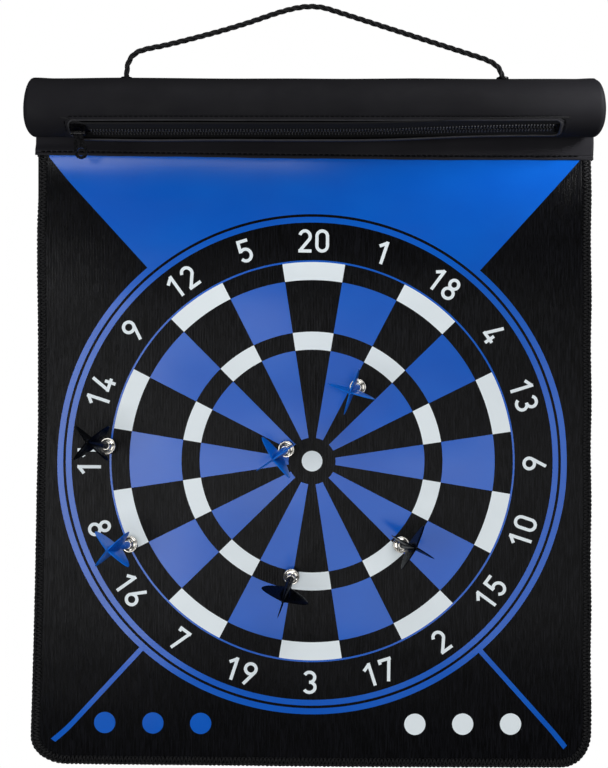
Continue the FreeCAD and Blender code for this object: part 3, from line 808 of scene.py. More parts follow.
def add_end_cap(parts, side, rim, rim_index):
    """A stuffed round end: rings from the tube's rim to the middle of the bulge."""
    centre = rim.mean(axis=0)
    rings = []
    for q in (0.06, 0.12, 0.2, 0.3, 0.42, 0.55, 0.68, 0.8, 0.9, 0.97):
        share = (1 - q ** 2.2) ** (1 / 2.2)
        height = CAP_BULGE * q
        ring = centre + (rim - centre) * share
        ring[:, 0] = rim[:, 0] + side * height
        rings.append(parts.add_ring(ring))
    tip, = parts.add_ring([(centre[0] + side * CAP_BULGE, centre[1], centre[2])])
    for first, second in zip([list(rim_index)] + rings, rings):
        parts.join(ring_faces(first, second, side > 0))
    last = rings[-1]
    triangles = [(a, b, tip) for a, b in zip(last, last[1:] + last[:1])]
    parts.join(triangles if side < 0 else flipped(triangles))


def make_window_stitches():
    """One line of topstitching round the window, sunk in its groove."""
    top = TUBE_R * WINDOW_TOP - TOPSTITCH_INSET
    bottom = TUBE_R * WINDOW_BOTTOM + TOPSTITCH_INSET
    left = WINDOW_LEFT - TOPSTITCH_INSET
    right = WINDOW_RIGHT + TOPSTITCH_INSET
    parts = Parts()
    lines = [((left + 3, top), (right - 3, top)), ((left + 3, bottom), (right - 3, bottom)),
             ((right, top + 3), (right, bottom - 3)), ((left, top + 3), (left, bottom - 3))]
    for start, end in lines:
        start = np.array(start)
        end = np.array(end)
        length = np.linalg.norm(end - start)
        direction = (end - start) / length
        for k in range(int(length / TOPSTITCH_PITCH)):
            a = start + direction * (k * TOPSTITCH_PITCH)
            b = a + direction * TOPSTITCH_LENGTH
            ends = [round_tube(p[0], leather_radius(p[0], p[1]) + 0.08, p[1] / TUBE_R) for p in (a, b)]
            parts.add(*capsule(ends[0], ends[1], 0.36))
    stitches = parts.make("window_stitching", [STITCH])
    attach(stitches, "pouch")


# ---------------------------------------------------------------- the zip

ZIP_ANGLE = math.radians(60)
TOOTH_PITCH = 2.0
TAPE_THICK = 0.45
SAG_TURN = math.radians(9.5)  # how far the sagging zip turns down round the tube
SAG_OUT = 0.9                # how far it moves out
TEETH_LOW, TEETH_HIGH = node_box("zip_teeth_upper")


def on_zip(points):
    """From the zip's own axes (X along, Y up the tube, Z out from the tube's axis), with its sag."""
    points = np.asarray(points, float)
    sag = zip_sag(points[:, 0])
    angle = ZIP_ANGLE + SAG_TURN * sag
    nothing = np.zeros(len(points))
    out = np.stack([nothing, -np.cos(angle), -np.sin(angle)], axis=1)
    up = np.stack([nothing, -np.sin(angle), np.cos(angle)], axis=1)
    centre = np.stack([points[:, 0], nothing + TUBE_Y, nothing + TUBE_Z], axis=1)
    return centre + points[:, 1:2] * up + (points[:, 2:] + SAG_OUT * sag[:, None]) * out


def tooth(x, side):
    """One moulded tooth: a foot on the tape, a narrower neck, and a head near the zip's middle."""
    # Each section: how far it is from the zip's middle, its half width, its underside and its top.
    sections = [(3.0, 0.30, 16.2, 17.3), (2.75, 0.5, 16.0, 17.75), (2.3, 0.52, 15.9, 17.95),
                (1.95, 0.36, 16.0, 17.6), (1.4, 0.34, 16.0, 17.45), (1.05, 0.5, 15.95, 17.75),
                (0.72, 0.54, 15.95, 17.95), (0.46, 0.36, 16.2, 17.5)]
    points = []
    for y, half, low, high in sections:
        for dx, z in ((-half, low + 0.2), (-half, high - 0.3), (-half * 0.5, high - 0.05),
                      (half * 0.5, high - 0.05), (half, high - 0.3), (half, low + 0.2), (0, low)):
            points.append((x + dx, side * y, z))
    size = (len(sections), len(points) // len(sections))
    faces = grid_faces(*size) + end_caps(*size)
    return on_zip(points), faces if side > 0 else flipped(faces)


def make_teeth(name, side):
    """One row of the zip's teeth; the lower row stands half a pitch along."""
    parts = Parts()
    x = TEETH_LOW[0] + (0.8 if side > 0 else 0.8 + TOOTH_PITCH / 2)
    while x < TEETH_HIGH[0] - 0.6:
        parts.add(*tooth(x, side))
        x += TOOTH_PITCH
    row = parts.make(name, [TEETH])
    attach(row, "pouch")
    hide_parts("zip_" + name)


def make_tape(side):
    """One half of the zip's tape, which sags with the teeth and is sewn under its lip."""
    xs = dense_steps([(WINDOW_LEFT - 5, 1.2), (WINDOW_RIGHT + 5, 1)])
    edge = np.array([0.9, 1.3, 2.2, 3.2, 4.5, 6.0, 7.5, 9.0])
    height = np.array([16.95, 16.95, 17.0, 17.0, 16.95, 16.85, 16.7, 16.6])
    if side < 0:
        height = height + np.array([0, 0, 0, 0, 0.05, 0.15, 0.1, 0])
    profile = [(side * e, h) for e, h in zip(edge, height)]
    profile += [(side * e, h - TAPE_THICK) for e, h in zip(edge[::-1], height[::-1])]
    size = (len(xs), len(profile))
    faces = grid_faces(*size) + end_caps(*size)
    name = "upper" if side > 0 else "lower"
    tape = add_mesh("tape_" + name, on_zip(swept(xs, profile).reshape(-1, 3)),
                    faces if side > 0 else flipped(faces), [TAPE])
    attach(tape, "pouch")
    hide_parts("zip_tape_" + name)


def soften(node, width_mm):
    """Rounds the edges of a CAD node that keeps its own shape."""
    piece = frame["nodes"][node]
    bevel = piece.modifiers.new("soft_edges", "BEVEL")
    bevel.width = width_mm * MM
    bevel.segments = 3
    bevel.limit_method = "ANGLE"
    bevel.angle_limit = math.radians(35)
    bevel.harden_normals = False
    for polygon in piece.data.polygons:
        polygon.use_smooth = True


def paint(node, material):
    """Gives a CAD node that keeps its own shape its material."""
    piece = frame["nodes"][node]
    if not piece.material_slots:
        piece.data.materials.append(material)
    for slot in piece.material_slots:
        slot.link = "OBJECT"
        slot.material = material


# ---------------------------------------------------------------- the neck and header

HEADER_LOW, HEADER_HIGH = node_box("header_strip_front")
FACE_LOW, FACE_HIGH = node_box("printed_face")
WALL_Y = node_box("backing_film")[1][1]
FACE_Y = FACE_LOW[1]
HEADER_BOTTOM = HEADER_LOW[2]
NECK_TOP = -78.5
STRIP_END = -98.4            # the strips' lower ends, before the front one's edge runs downhill


def make_neck():
    """Leather cloth from the back of the tube, over the fold, to the strip sewn on the board."""
    front = [(0.4, NECK_TOP), (0.3, -81), (0.15, -84), (-0.1, -87), (-0.2, -89.5), (-0.05, -91.6),
             (0.25, -93.2), (0.5, -94.3), (0.56, -95.0), (0.62, -95.5), (0.95, -95.8), (0.95, -96.5),
             (0.58, -96.8), (0.52, -97.4), (0.62, -98.1), (0.9, STRIP_END)]
    inside = [(FACE_Y - 0.1, STRIP_END), (FACE_Y - 0.1, -96.4), (FACE_Y, -94.4),
              (2.6, -94.0), (WALL_Y - 0.55, -94.4), (WALL_Y - 0.5, STRIP_END)]
    back = [(WALL_Y, STRIP_END), (WALL_Y, -96), (WALL_Y - 0.2, -93.5), (WALL_Y - 0.35, -91.5),
            (WALL_Y - 0.1, -88), (WALL_Y, -84), (WALL_Y, NECK_TOP)]
    profile = np.array(front + inside + back)
    cut = {len(front) - 1, len(front) + len(inside) - 1}
    half = HEADER_HIGH[0] + 0.9
    xs = dense_steps([(-half, 1.6), (half, 1)])
    xs = xs + smooth_step(0, half, xs) * 1.1
    rows = len(xs)
    columns = len(profile)
    points = swept(xs, profile)
    face_share = (np.arange(columns) < len(front))[None, :]
    strip = smooth_step(-89, -96, profile[:, 1])[None, :]
    points[..., 2] += strip * (header_bottom(xs) - STRIP_END)[:, None]
    fore = (np.arange(columns) < len(front) + 3)[None, :]
    points[..., 1] -= fore * strip * header_pull(xs)[:, None]
    belly = np.exp(-((profile[:, 1] + 88) / 4.5) ** 2)[None, :]
    wander = (0.30 * np.sin(xs / 31) + 0.18 * np.sin(xs / 12.3 + 1))[:, None]
    points[..., 1] -= face_share * belly * (0.35 + wander)
    pucker = np.exp(-((profile[:, 1] + 96.2) / 1.3) ** 2)[None, :]
    points[..., 1] -= face_share * pucker * 0.09 * np.sin(TAU * xs / 3.6)[:, None]
    low_edge = (profile[:, 1] == STRIP_END)[None, :]
    points[..., 2] += low_edge * (0.12 * np.sin(xs / 17) + 0.07 * np.sin(xs / 5.1))[:, None]
    faces = grid_faces(rows, columns)
    material = [1 if f[0] % columns in cut else 0 for f in faces]
    faces = flipped(faces) + end_caps(rows, columns)
    # The neck's faces take the paler copy of the leather, painted light against the shade under the
    # tube.
    neck = add_mesh("neck_leather", points.reshape(-1, 3), faces, [NECK_LEATHER_PAINTED_LIGHT, CUT_EDGE],
                    material + [1, 1])
    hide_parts("neck_upper", "header_strip_front", "header_strip_rear")
    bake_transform(neck)


def make_header_stitches():
    """The line of stitches above the header's lower edge, and its other side on the wall's."""
    low, high = node_box("header_stitching")
    pitch, length = 3.6, 2.7
    rear_y = WALL_Y + 0.05
    parts = Parts()
    x = low[0]
    while x + length < high[0]:
        ends = []
        for at in (x, x + length):
            ends.append((at, 0.66 - float(header_pull(at)), float(header_bottom(at)) + 2.3))
        parts.add(*capsule(ends[0], ends[1], 0.60))
        z = ends[0][2]
        parts.add(*capsule((x, rear_y, z), (x + length, rear_y, z), 0.3))
        x += pitch
    stitches = parts.make("header_thread", [STITCH])
    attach(stitches, "board")
    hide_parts("header_stitching")


# ---------------------------------------------------------------- the board's print

TARGET = np.array([-1.3, -300.0])
PRINT_TURN = 0.0087          # the print sits a little askew on the cloth
PRINT_STRETCH = (1.0029, 0.9947)
BULL_R = 6.85
BULL_RING_R = 15.6
TRIPLE = (74.4, 86.4)
DOUBLE = (120.9, 132.9)
RIM_LINE_R = 134.1
OUTER_LINES = ((159.3, 163.1), (164.9, 168.9))
NUMBER_R = 147.3
NUMBER_MIDDLE = TARGET + np.array([-0.25, -0.3])
NUMBER_H = 15.6
WEDGE = math.radians(18)
NUMBERS = (20, 1, 18, 4, 13, 6, 10, 15, 2, 17, 3, 19, 7, 16, 8, 11, 14, 9, 12, 5)

PANEL = [(-176.7, -96.0), (177.2, -96.0), (177.2, -100.0), (110.7, -172.9), (60, -210),
         (-60, -210), (-110.3, -171.9), (-176.9, -98.7)]
SASHES = (((-114.3, -424.2), (-171.4, -485.6)), ((110.4, -426.0), (167.0, -489.2)))
SASH_W = 3.3
DOT_R = 7.05
BLUE_DOTS = ((-139.0, -473.6), (-107.0, -473.9), (-75.3, -474.2))
WHITE_DOTS = ((66.9, -474.6), (98.7, -474.6), (130.5, -474.6))
BLACK, BLUE, WHITE = 0, 1, 2

STROKE = 0.137               # a digit's stroke as a share of its height
DIGIT_W = 0.60
DIGIT_GAP = 0.13


def bow(x, y, rx, ry, start, end, count=18):
    """Points of an elliptical arc, angles in degrees."""
    a = np.radians(np.linspace(start, end, count))
    return np.stack([x + rx * np.cos(a), y + ry * np.sin(a)], axis=1)


def digit_strokes(digit):
    """The middle lines of a digit's strokes, in a box DIGIT_W wide and 1 high."""
    edge = STROKE / 2
    top = 1 - edge
    if digit == 9:
        return [np.array([DIGIT_W, 1.0]) - s for s in digit_strokes(6)]
    if digit == 0:
        ring = np.concatenate([bow(0.3, 0.7, 0.225, 0.23, 0, 180), bow(0.3, 0.3, 0.225, 0.23, 180, 360)])
        strokes = [np.concatenate([ring, ring[:2]])]
    elif digit == 1:
        strokes = [[(0.39, 0.0), (0.39, 1.0)], [(0.11, 0.72), (0.41, 0.955)]]
    elif digit == 2:
        curve = np.concatenate([bow(0.3, 0.69, 0.22, 0.24, 165, -28), [(0.09, 0.085)]])
        strokes = [curve, [(0.02, edge), (0.58, edge)]]
    elif digit == 3:
        strokes = [bow(0.285, 0.715, 0.225, 0.215, 152, -92), bow(0.285, 0.29, 0.24, 0.22, 92, -152)]
    elif digit == 4:
        strokes = [[(0.40, 1.0), (0.08, 0.20)], [(0.02, 0.235), (0.60, 0.235)],
                   [(0.43, 0.47), (0.43, 0.0)]]
    elif digit == 5:
        strokes = [[(0.54, top), (0.08, top)], [(0.13, 1.0), (0.11, 0.46)],
                   bow(0.29, 0.325, 0.235, 0.255, 138, -150)]
    elif digit == 6:
        bowl = bow(0.3, 0.29, 0.228, 0.222, 0, 360, 30)
        strokes = [np.concatenate([bowl, bowl[:2]]), [(0.103, 0.40), (0.415, 1.0)]]
    elif digit == 7:
        strokes = [[(0.03, top), (0.60, top)], [(0.54, 0.97), (0.22, 0.0)], [(0.10, 1.0), (0.10, 0.78)]]
    else:
        upper = bow(0.3, 0.735, 0.19, 0.195, -90, 270, 28)
        lower = bow(0.3, 0.285, 0.225, 0.217, 90, 450, 28)
        strokes = [np.concatenate([upper, upper[:2]]), np.concatenate([lower, lower[:2]])]
    return [np.array(s, float) for s in strokes]


def number_strokes():
    """Every number's strokes on the face, each as the middle line of a stroke."""
    lines = []
    for place, number in enumerate(NUMBERS):
        angle = math.pi / 2 - place * WEDGE
        outward = np.array([math.cos(angle), math.sin(angle)])
        upright = outward if math.sin(angle) > -0.1 else -outward
        rightward = np.array([upright[1], -upright[0]])
        digits = [int(c) for c in str(number)]
        width = len(digits) * DIGIT_W + (len(digits) - 1) * DIGIT_GAP
        for k, digit in enumerate(digits):
            shift = k * (DIGIT_W + DIGIT_GAP) - width / 2
            if digit == 1 and len(digits) > 1:
                shift -= 0.03 if k == 0 else 0.04
            for stroke in digit_strokes(digit):
                across = (stroke[:, :1] + shift) * NUMBER_H
                up = (stroke[:, 1:] - 0.5) * NUMBER_H
                place = NUMBER_MIDDLE + outward * NUMBER_R
                lines.append(place + across * rightward + up * upright)
    return lines


def stroke_outline(line, half):
    """The two sides of a stroke, joined by square ends."""
    tangent = np.gradient(line, axis=0)
    tangent /= np.linalg.norm(tangent, axis=1)[:, None]
    normal = np.stack([-tangent[:, 1], tangent[:, 0]], axis=1)
    return np.concatenate([line + normal * half, (line - normal * half)[::-1]])


def in_stroke(points, line, half):
    """Which points lie on a stroke with square ends."""
    inside = np.zeros(len(points), bool)
    for a, b in zip(line, line[1:]):
        d = b - a
        t = (points - a) @ d / (d @ d)
        away = np.abs((points - a) @ np.array([-d[1], d[0]])) / np.linalg.norm(d)
        inside |= (t >= 0) & (t <= 1) & (away <= half)
    for joint in line[1:-1]:
        inside |= np.hypot(*(points - joint).T) <= half
    return inside


def in_polygon(points, corners):
    """Which points lie inside a closed outline."""
    inside = np.zeros(len(points), bool)
    corners = np.asarray(corners, float)
    for (x0, y0), (x1, y1) in zip(corners, np.roll(corners, -1, axis=0)):
        crosses = (y0 > points[:, 1]) != (y1 > points[:, 1])
        with np.errstate(divide="ignore", invalid="ignore"):
            at = x0 + (points[:, 1] - y0) * (x1 - x0) / (y1 - y0)
        inside ^= crosses & (points[:, 0] < at)
    return inside


def askew(points):
    """Where a point of the target lands on the cloth."""
    x, z = (np.asarray(points, float) - TARGET).T
    return TARGET + np.stack([PRINT_STRETCH[0] * x + PRINT_TURN * z,
                              PRINT_STRETCH[1] * z - PRINT_TURN * x], axis=1)


def straightened(points):
    """The target's own point for a point of the cloth."""
    x, z = (points - TARGET).T
    size = PRINT_STRETCH[0] * PRINT_STRETCH[1] + PRINT_TURN ** 2
    return TARGET + np.stack([PRINT_STRETCH[1] * x - PRINT_TURN * z,
                              PRINT_STRETCH[0] * z + PRINT_TURN * x], axis=1) / size


def print_colours(points, strokes):
    """The print's colour at each point of the face."""
    colour = np.full(len(points), BLACK)
    target_points = straightened(points)
    away = target_points - TARGET
    r = np.hypot(*away.T)
    turn = np.arctan2(away[:, 1], away[:, 0])
    outside = r > OUTER_LINES[-1][1]
    colour[outside & in_polygon(points, PANEL)] = BLUE
    for start, end in SASHES:
        colour[outside & in_stroke(points, np.array([start, end]), SASH_W / 2)] = BLUE
    for dots, ink in ((BLUE_DOTS, BLUE), (WHITE_DOTS, WHITE)):
        for dot in dots:
            colour[np.hypot(*(points - dot).T) < DOT_R] = ink
    wedge = np.round((math.pi / 2 - turn) / WEDGE).astype(int) % 2
    target = (r > BULL_RING_R) & (r < DOUBLE[1])
    band = ((r > TRIPLE[0]) & (r < TRIPLE[1])) | (r > DOUBLE[0])
    colour[target & (wedge == 1) & ~band] = BLUE
    colour[target & (wedge == 0) & band] = WHITE
    colour[r < BULL_R] = WHITE
    for low, high in ((DOUBLE[1], RIM_LINE_R), *OUTER_LINES):
        colour[(r > low) & (r < high)] = BLUE
    near = np.abs(r - NUMBER_R) < NUMBER_H
    chosen = np.flatnonzero(near)
    for line in strokes:
        colour[chosen[in_stroke(target_points[chosen], line, STROKE * NUMBER_H / 2)]] = WHITE
    return colour


CORNER_R = 19.5
CLOTH_THICK = 0.45
DART_NAMES = ["dart_%d" % n for n in range(1, 7)]


def magnet_places():
    """Where each dart's magnet stands on the face."""
    places = []
    for name in DART_NAMES:
        low, high = node_box(name + "_magnet")
        places.append(((low[0] + high[0]) / 2, (low[2] + high[2]) / 2))
    return places


MAGNETS = magnet_places()


def header_bottom(x):
    """The height of the header's lower edge, which runs a little downhill to the right."""
    return -97.6 - 2.45 * smooth_step(-183, 75, x) ** 0.8


def header_pull(x):
    """How far the header's seam draws the sheet forward, mostly at its left."""
    return 2.5 * smooth_step(150, -20, x) + 0.8 * smooth_step(-90, -165, x)


def sheet_lift(x, z):
    """How far the face stands forward of flat: gentle waves, none under a dart."""
    x = np.asarray(x, float)
    z = np.asarray(z, float)
    lift = 0.45 + 0.28 * np.sin(x / 47 + z / 88) + 0.13 * np.sin(x / 23 - z / 41 + 1)
    lift = lift + 0.10 * np.sin(z / 9.5 + x / 60) * np.exp(-((x - 30) / 90) ** 2)
    for place in MAGNETS:
        lift = lift * (1 - np.exp(-((x - place[0]) ** 2 + (z - place[1]) ** 2) / 900))
    below = header_bottom(x) - z
    lift = lift * smooth_step(0, 30, below)
    return lift + header_pull(x) * (1 - np.tanh(np.maximum(below, 0) / 18))


def sheet_place(x, z, depth=0.0):
    """A point of the board from its flat outline: it flares at the lower left, and waves."""
    x = np.asarray(x, float)
    z = np.asarray(z, float)
    near_left = smooth_step(-160, -183, x)
    low = np.clip((-270 - z) / 230, 0, 1)
    flare = 1.6 * smooth_step(-152, -105, z) + 0.5 * smooth_step(-170, -215, z)
    flare = flare - 4.9 * low ** 1.6 + 0.5 * (1 - smooth_step(-270, -330, z))
    near_right = smooth_step(150, 183, x)
    wander = 0.25 * np.sin(z / 11) - 0.35
    bow_down = 0.6 * (1 - (x / 183) ** 2)
    askew_edge = (-0.3 - 0.0073 * x - bow_down) * smooth_step(-478, -499, z)
    moved = x + near_left * flare + near_right * wander
    moved, y, z = np.broadcast_arrays(moved, FACE_Y - sheet_lift(x, z) + depth, z + askew_edge)
    return np.stack([moved, y, z], axis=-1)


def outline_points(inset, step, top=None):
    """Along the board's edge from the top left, down, across and up: points and outward ways."""
    left = FACE_LOW[0] + inset
    right = FACE_HIGH[0] - inset
    low = FACE_LOW[2] + inset
    top = HEADER_BOTTOM if top is None else top
    r = CORNER_R - inset
    angle = np.linspace(0, math.pi / 2, 15)
    corner = np.stack([left + r - r * np.cos(angle), low + r - r * np.sin(angle)], axis=1)
    other = np.stack([right - r + r * np.sin(angle), low + r - r * np.cos(angle)], axis=1)
    line = np.concatenate([[(left, top)], corner, other, [(right, top)]])
    line = np.stack([line[:, 0], np.zeros(len(line)), line[:, 1]], axis=1)
    line = spaced(line, step)[:, [0, 2]]
    tangent = np.gradient(line, axis=0)
    tangent /= np.linalg.norm(tangent, axis=1)[:, None]
    return line, np.stack([tangent[:, 1], -tangent[:, 0]], axis=1)


def print_edges(strokes):
    """Every line of the print and the cloth's outline as point lists, closed or open."""
    closed = []
    opened = []
    radii = [BULL_R, BULL_RING_R, *TRIPLE, *DOUBLE, RIM_LINE_R, *OUTER_LINES[0], *OUTER_LINES[1]]
    for r in radii:
        closed.append(circle(TARGET, r, 360 if r > 50 else 120))
    for k in range(20):
        a = (k + 0.5) * WEDGE
        way = np.array([math.cos(a), math.sin(a)])
        opened.append(TARGET + np.outer([BULL_RING_R, 45, TRIPLE[0], TRIPLE[1], 104, DOUBLE[1]], way))
    for line in strokes:
        closed.append(stroke_outline(line, STROKE * NUMBER_H / 2))
    closed = [askew(line) for line in closed]
    opened = [askew(line) for line in opened]
    closed.append(np.array(PANEL))
    for sash in SASHES:
        closed.append(stroke_outline(np.array(sash, float), SASH_W / 2))
    for dot in BLUE_DOTS + WHITE_DOTS:
        closed.append(circle(dot, DOT_R, 64))
    outline, _ = outline_points(0, 4.0, FACE_HIGH[2])
    closed.append(outline)
    return closed, opened


def with_steps(line, longest=4.0):
    """The same line with points added so that no step of it is long."""
    points = [line[0]]
    for a, b in zip(line, line[1:]):
        count = max(1, int(math.ceil(np.linalg.norm(b - a) / longest)))
        points.extend(a + (b - a) * (k + 1) / count for k in range(count))
    return points


def make_face():
    """The printed cloth: one mesh whose edges follow the print, so that its colours stay crisp."""
    strokes = number_strokes()
    closed, opened = print_edges(strokes)
    points = []
    edges = []
    for line in [np.concatenate([c, c[:1]]) for c in closed] + opened:
        start = len(points)
        points.extend(Vector(p) for p in with_steps(np.asarray(line, float)))
        edges.extend((k, k + 1) for k in range(start, len(points) - 1))
    rows = dense_steps([(FACE_LOW[2] + 4, 5.0), (HEADER_BOTTOM - 40, 2.0), (FACE_HIGH[2] - 2, 1)])
    for x in np.arange(FACE_LOW[0] + 4, FACE_HIGH[0] - 2, 5.0):
        for z in rows:
            points.append(Vector((x, z)))
    flat, _, triangles, _, _, _ = delaunay_2d_cdt(points, edges, [], 0, 1e-4, True)
    flat = np.array([tuple(p) for p in flat])
    triangles = np.array([tuple(t) for t in triangles])
    middle = flat[triangles].mean(axis=1)
    outline, _ = outline_points(0, 4.0, FACE_HIGH[2])
    kept = in_polygon(middle, outline)
    triangles = triangles[kept]
    colour = print_colours(middle[kept], strokes)
    used, inverse = np.unique(triangles, return_inverse=True)
    triangles = inverse.reshape(-1, 3)
    flat = flat[used]
    a, b, c = (flat[triangles[:, k]] for k in range(3))
    clockwise = np.cross(b - a, c - a) < 0
    triangles[clockwise] = triangles[clockwise][:, ::-1]
    front = sheet_place(flat[:, 0], flat[:, 1])
    rear = sheet_place(flat[:, 0], flat[:, 1], CLOTH_THICK)
    count = len(flat)
    sides = np.concatenate([triangles[:, [0, 1]], triangles[:, [1, 2]], triangles[:, [2, 0]]])
    _, first, uses = np.unique(np.sort(sides, axis=1), axis=0, return_index=True, return_counts=True)
    rim = sides[first[uses == 1]]
    faces = [tuple(t) for t in triangles.tolist()]
    faces += [tuple(i + count for i in t[::-1]) for t in triangles.tolist()]
    faces += [(b, a, a + count, b + count) for a, b in rim.tolist()]
    materials = colour.tolist() + [BLACK] * (len(triangles) + len(rim))
    cloth = add_mesh("printed_cloth", np.concatenate([front, rear]), faces,
                     [BLACK_CLOTH, BLUE_INK, WHITE_INK], materials)
    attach(cloth, "board")
    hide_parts("printed_face")


# ---------------------------------------------------------------- the overlocked edge

LOOP = 2.5                   # one overlock stitch along the edge
ROPE = 5.4                   # one turn of the two threads that lie along the edge
BAND = 4.5                   # from the edge to the line of needle holes
NEEDLE = 3.0                 # from one needle hole to the next


def edge_thread(offset_of, depth_of, pitch, step):
    """A thread along the edge: how far in from the edge, and how far behind the face, by phase."""
    line, outward = outline_points(0, step)
    phase = np.arange(len(line)) * step / pitch
    inward = offset_of(phase)
    spot = line - outward * inward[:, None]
    place = sheet_place(spot[:, 0], spot[:, 1])
    place[:, 1] += depth_of(phase)
    return place


def slanted(phase):
    """A stitch's swing from the edge (0) to the needle's line (1): a long slant, then a short one."""
    t = phase % 1.0
    return np.where(t < 0.78, smooth_step(0, 0.78, t), 1 - smooth_step(0.78, 1.0, t))


def make_overlock():
    """The threads sewn over the edge: front, rear, two along the rim, a wrap, and the needle's."""
    depth = WALL_Y - FACE_Y
    parts = Parts()
    front = edge_thread(lambda p: 0.7 + (BAND - 0.9) * slanted(p),
                        lambda p: -0.36 + 0.14 * np.cos(TAU * p), LOOP, 0.26)
    parts.add(*tube(front, 0.62, sides=6))
    rear = edge_thread(lambda p: 0.1 + (BAND - 0.4) * slanted(p + 0.5),
                       lambda p: depth + 0.02 + 0.05 * np.cos(TAU * p), 2 * LOOP, 0.4)
    parts.add(*tube(rear, 0.36, sides=5))
    for turn in (0.0, 0.5):
        purl = edge_thread(lambda p: 0.15 - 0.55 * np.cos(TAU * (p + turn)),
                           lambda p: depth * 0.30 - 0.85 * np.sin(TAU * (p + turn)), ROPE, 0.43)
        parts.add(*tube(purl, 0.92, sides=8, flutes=3, flute_depth=0.10, flute_turn=500))
    wrap = edge_thread(lambda p: -0.42 + 1.2 * (np.sin(TAU * p) ** 2),
                       lambda p: depth * 0.5 - (depth * 0.5 + 0.25) * np.cos(TAU * p), ROPE / 2, 0.43)
    parts.add(*tube(wrap, 0.60, sides=6))
    line, outward = outline_points(BAND, 0.9)
    along = np.arange(len(line)) * 0.9
    for k in range(int(along[-1] / NEEDLE)):
        ends = []
        for share in (0.12, 0.72):
            i = min(len(line) - 1, int(round((k + share) * NEEDLE / 0.9)))
            place = sheet_place(line[i, 0], line[i, 1])
            place[1] -= 0.12
            ends.append(place)
        parts.add(*capsule(ends[0], ends[1], 0.28))
    edge = parts.make("overlock_thread", [THREAD])
    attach(edge, "board")
    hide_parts("edge_overlock")


# ---------------------------------------------------------------- the darts

FIN_COUNT = 4
FIN_R = 15.6
FIN_WIDEST = 36              # from the dart's tip to where its fins are widest
FIN_MIDDLE = 32
FIN_HALF = 12.9              # half a fin's length along the dart
BLUE_DARTS = ("dart_1", "dart_2", "dart_3")


def node_points(name):
    return np.array([v.co for v in frame["nodes"][name].data.vertices]) / MM


def dart_axes(name):
    """A dart's tip, its axis and two square directions, the first along a fin."""
    magnet = node_points(name + "_magnet")
    flight = node_points(name + "_flight")
    joint = next(j for j in frame["joints"] if j["name"] == name + "_lift")
    axis = np.array(joint["axis"], float)
    axis /= np.linalg.norm(axis)
    middle = magnet.mean(axis=0)
    along = (magnet - middle) @ axis
    back = magnet[along > along.max() - 0.05]
    base = back.mean(axis=0)
    tip = base + axis * (along.min() - along.max())
    away = flight - tip
    square = away - np.outer(away @ axis, axis)
    reach = np.linalg.norm(square, axis=1)
    widest = square[reach > reach.max() - 0.02]
    fin = widest[np.linalg.norm(widest - widest[0], axis=1) < 2].mean(axis=0)
    fin /= np.linalg.norm(fin)
    return tip, axis, fin, np.cross(axis, fin)


def stand(points, axes):
    """From a dart's own axes (X along a fin, Z from its tip) to its place on the board."""
    tip, axis, fin, square = axes
    points = np.asarray(points, float)
    return tip + points[:, :1] * fin + points[:, 1:2] * square + points[:, 2:] * axis


def make_dart_tip(name, axes):
    """The domed magnet in its plated cup, and the ringed socket behind it."""
    profile = [(0, 0.0), (1.5, 0.08), (3.0, 0.33), (4.1, 0.62), (4.45, 0.78), (4.58, 1.02),
               (4.62, 1.12), (5.1, 1.16), (5.35, 1.34), (5.45, 1.7), (5.5, 3.2), (5.48, 3.7),
               (5.3, 4.05), (5.0, 4.15), (4.75, 3.95), (4.55, 3.98), (4.4, 4.3), (4.1, 4.5),
               (3.4, 4.62), (3.2, 4.8), (2.95, 5.2), (2.72, 5.5), (2.74, 6.2), (2.95, 6.42),
               (2.98, 6.75), (2.74, 6.95), (2.74, 7.15), (2.95, 7.35), (2.95, 7.95), (2.8, 8.16),
               (2.4, 8.2), (0, 8.2)]
    points, faces = turned(profile, 40)
    piece = add_mesh(name + "_metal_tip", stand(points, axes), faces, [CHROME])
    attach(piece, name)
    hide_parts(name + "_magnet", name + "_cup")


def make_dart_barrel(name, axes, material):
    """A slim moulded barrel with shallow grip rings that narrows into the flight."""
    profile = [(0, 8.0), (2.2, 8.0), (2.35, 8.2)]
    for k in range(5):
        z = 9.4 + 1.7 * k
        profile += [(2.35, z), (2.12, z + 0.25), (2.12, z + 0.65), (2.35, z + 0.9)]
    profile += [(2.35, 18.2), (2.25, 19.5), (2.0, 21.8), (1.8, 24.0), (1.3, 34.0), (0.8, 43.0),
                (0.45, 44.8), (0, 45.0)]
    points, faces = turned(profile, 24)
    piece = add_mesh(name + "_shaft", stand(points, axes), faces, [material])
    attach(piece, name)
    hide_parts(name + "_barrel")


def fin_reach(z):
    """How far a fin reaches from the dart's axis, at a distance from the dart's tip."""
    before = np.clip((FIN_WIDEST - z) / 15, 0, 1)
    after = np.clip((z - FIN_WIDEST) / 9, 0, 1)
    return FIN_R * (1 - before ** 2) ** 1.05 * (1 - after ** 2) ** 0.95


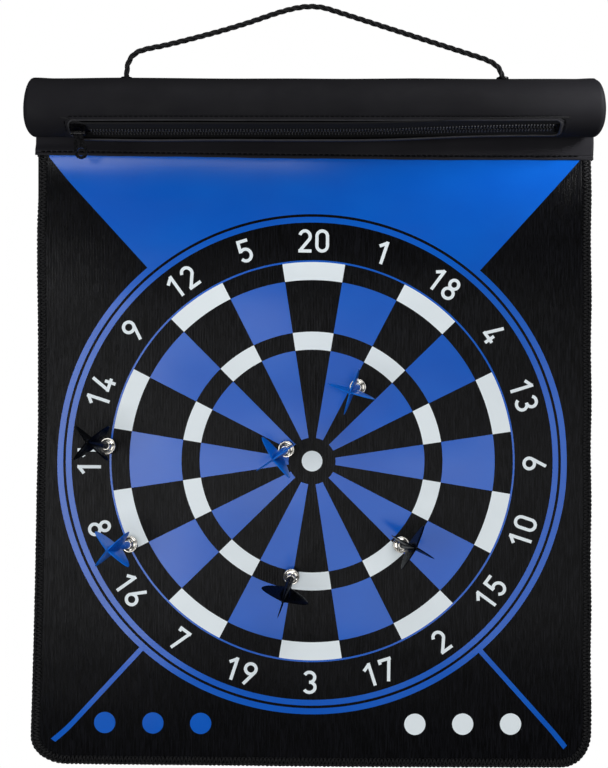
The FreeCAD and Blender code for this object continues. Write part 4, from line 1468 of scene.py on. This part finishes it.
def fin_blade(turn):
    """One leaf-shaped fin with a slight curl, thicker at the shaft, with a rounded rim."""
    rows = 19
    columns = 9
    points = []
    for i in range(rows):
        v = i / (rows - 1)
        z = FIN_MIDDLE - FIN_HALF * math.cos(math.pi * v)
        reach = max(1.3, float(fin_reach(z)))
        curl = 0.3 * math.sin(math.pi * v)
        for side in (1, -1):
            for j in range(columns) if side > 0 else range(columns - 1, -1, -1):
                u = math.sin(math.pi / 2 * j / (columns - 1))
                thick = (0.55 - 0.22 * u) * math.sqrt(max(0.0, 1 - u ** 8)) + 0.02
                vein = 0.08 * math.exp(-((u - 0.45) / 0.07) ** 2)
                y = side * (thick + vein) + curl * math.sin(math.pi * u)
                points.append((0.6 + (reach - 0.6) * u, y, z))
    ring = 2 * columns
    faces = grid_faces(rows, ring) + end_caps(rows, ring)
    points = np.array(points)
    cos, sin = math.cos(turn), math.sin(turn)
    x = points[:, 0] * cos - points[:, 1] * sin
    y = points[:, 0] * sin + points[:, 1] * cos
    return np.stack([x, y, points[:, 2]], axis=1), faces


def make_flight(name, axes, material):
    """Four fins at right angles round the shaft."""
    parts = Parts()
    for k in range(FIN_COUNT):
        points, faces = fin_blade(k * TAU / FIN_COUNT)
        parts.add(stand(points, axes), faces)
    piece = parts.make(name + "_fins", [material])
    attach(piece, name)
    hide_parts(name + "_flight")


def make_darts():
    for name in DART_NAMES:
        axes = dart_axes(name)
        blue = name in BLUE_DARTS
        make_dart_tip(name, axes)
        make_dart_barrel(name, axes, BLUE_PLASTIC if blue else BLACK_PLASTIC)
        make_flight(name, axes, BLUE_FIN if blue else BLACK_FIN)


# ---------------------------------------------------------------- the floor

FLOOR_Z = -900
FLOOR_R = 1000


def make_floor():
    """A round pale floor well below the object, which throws no light on it."""
    rings, sides = 20, 72
    points = [(0, 0, FLOOR_Z)]
    for r in np.linspace(0, FLOOR_R, rings + 1)[1:]:
        points += [(x, y, FLOOR_Z) for x, y in circle((0, 0), r, sides)]
    faces = [(0, 1 + j, 1 + (j + 1) % sides) for j in range(sides)]
    faces += [tuple(1 + i for i in f) for f in flipped(grid_faces(rings, sides))]
    s = Shader("floor", (0.9, 0.9, 0.9), 0.9, Emission_Color=(1, 1, 1, 1), Emission_Strength=0.42)
    floor = add_mesh("floor", points, faces, [s.material])
    floor.visible_diffuse = False
    floor.visible_glossy = False


# ---------------------------------------------------------------- everything

make_cord()
make_pouch()
make_window_stitches()
make_teeth("teeth_upper", 1)
make_teeth("teeth_lower", -1)
make_tape(1)
make_tape(-1)
make_neck()
make_header_stitches()
make_face()
make_overlock()
make_darts()
make_floor()

SOFT_EDGES = {"slider_body": 0.35, "slider_crown": 0.35, "pull_tab": 0.3, "zip_stop_open_end": 0.3,
              "zip_stops_closed_end": 0.3, "eyelet_left": 0.25, "eyelet_right": 0.25}
for part, edge_width in SOFT_EDGES.items():
    soften(part, edge_width)
    paint(part, BLACK_METAL)
paint("magnetic_sheet", RUBBER)
paint("backing_film", BACKING)
paint("pouch_stiffener", RUBBER)
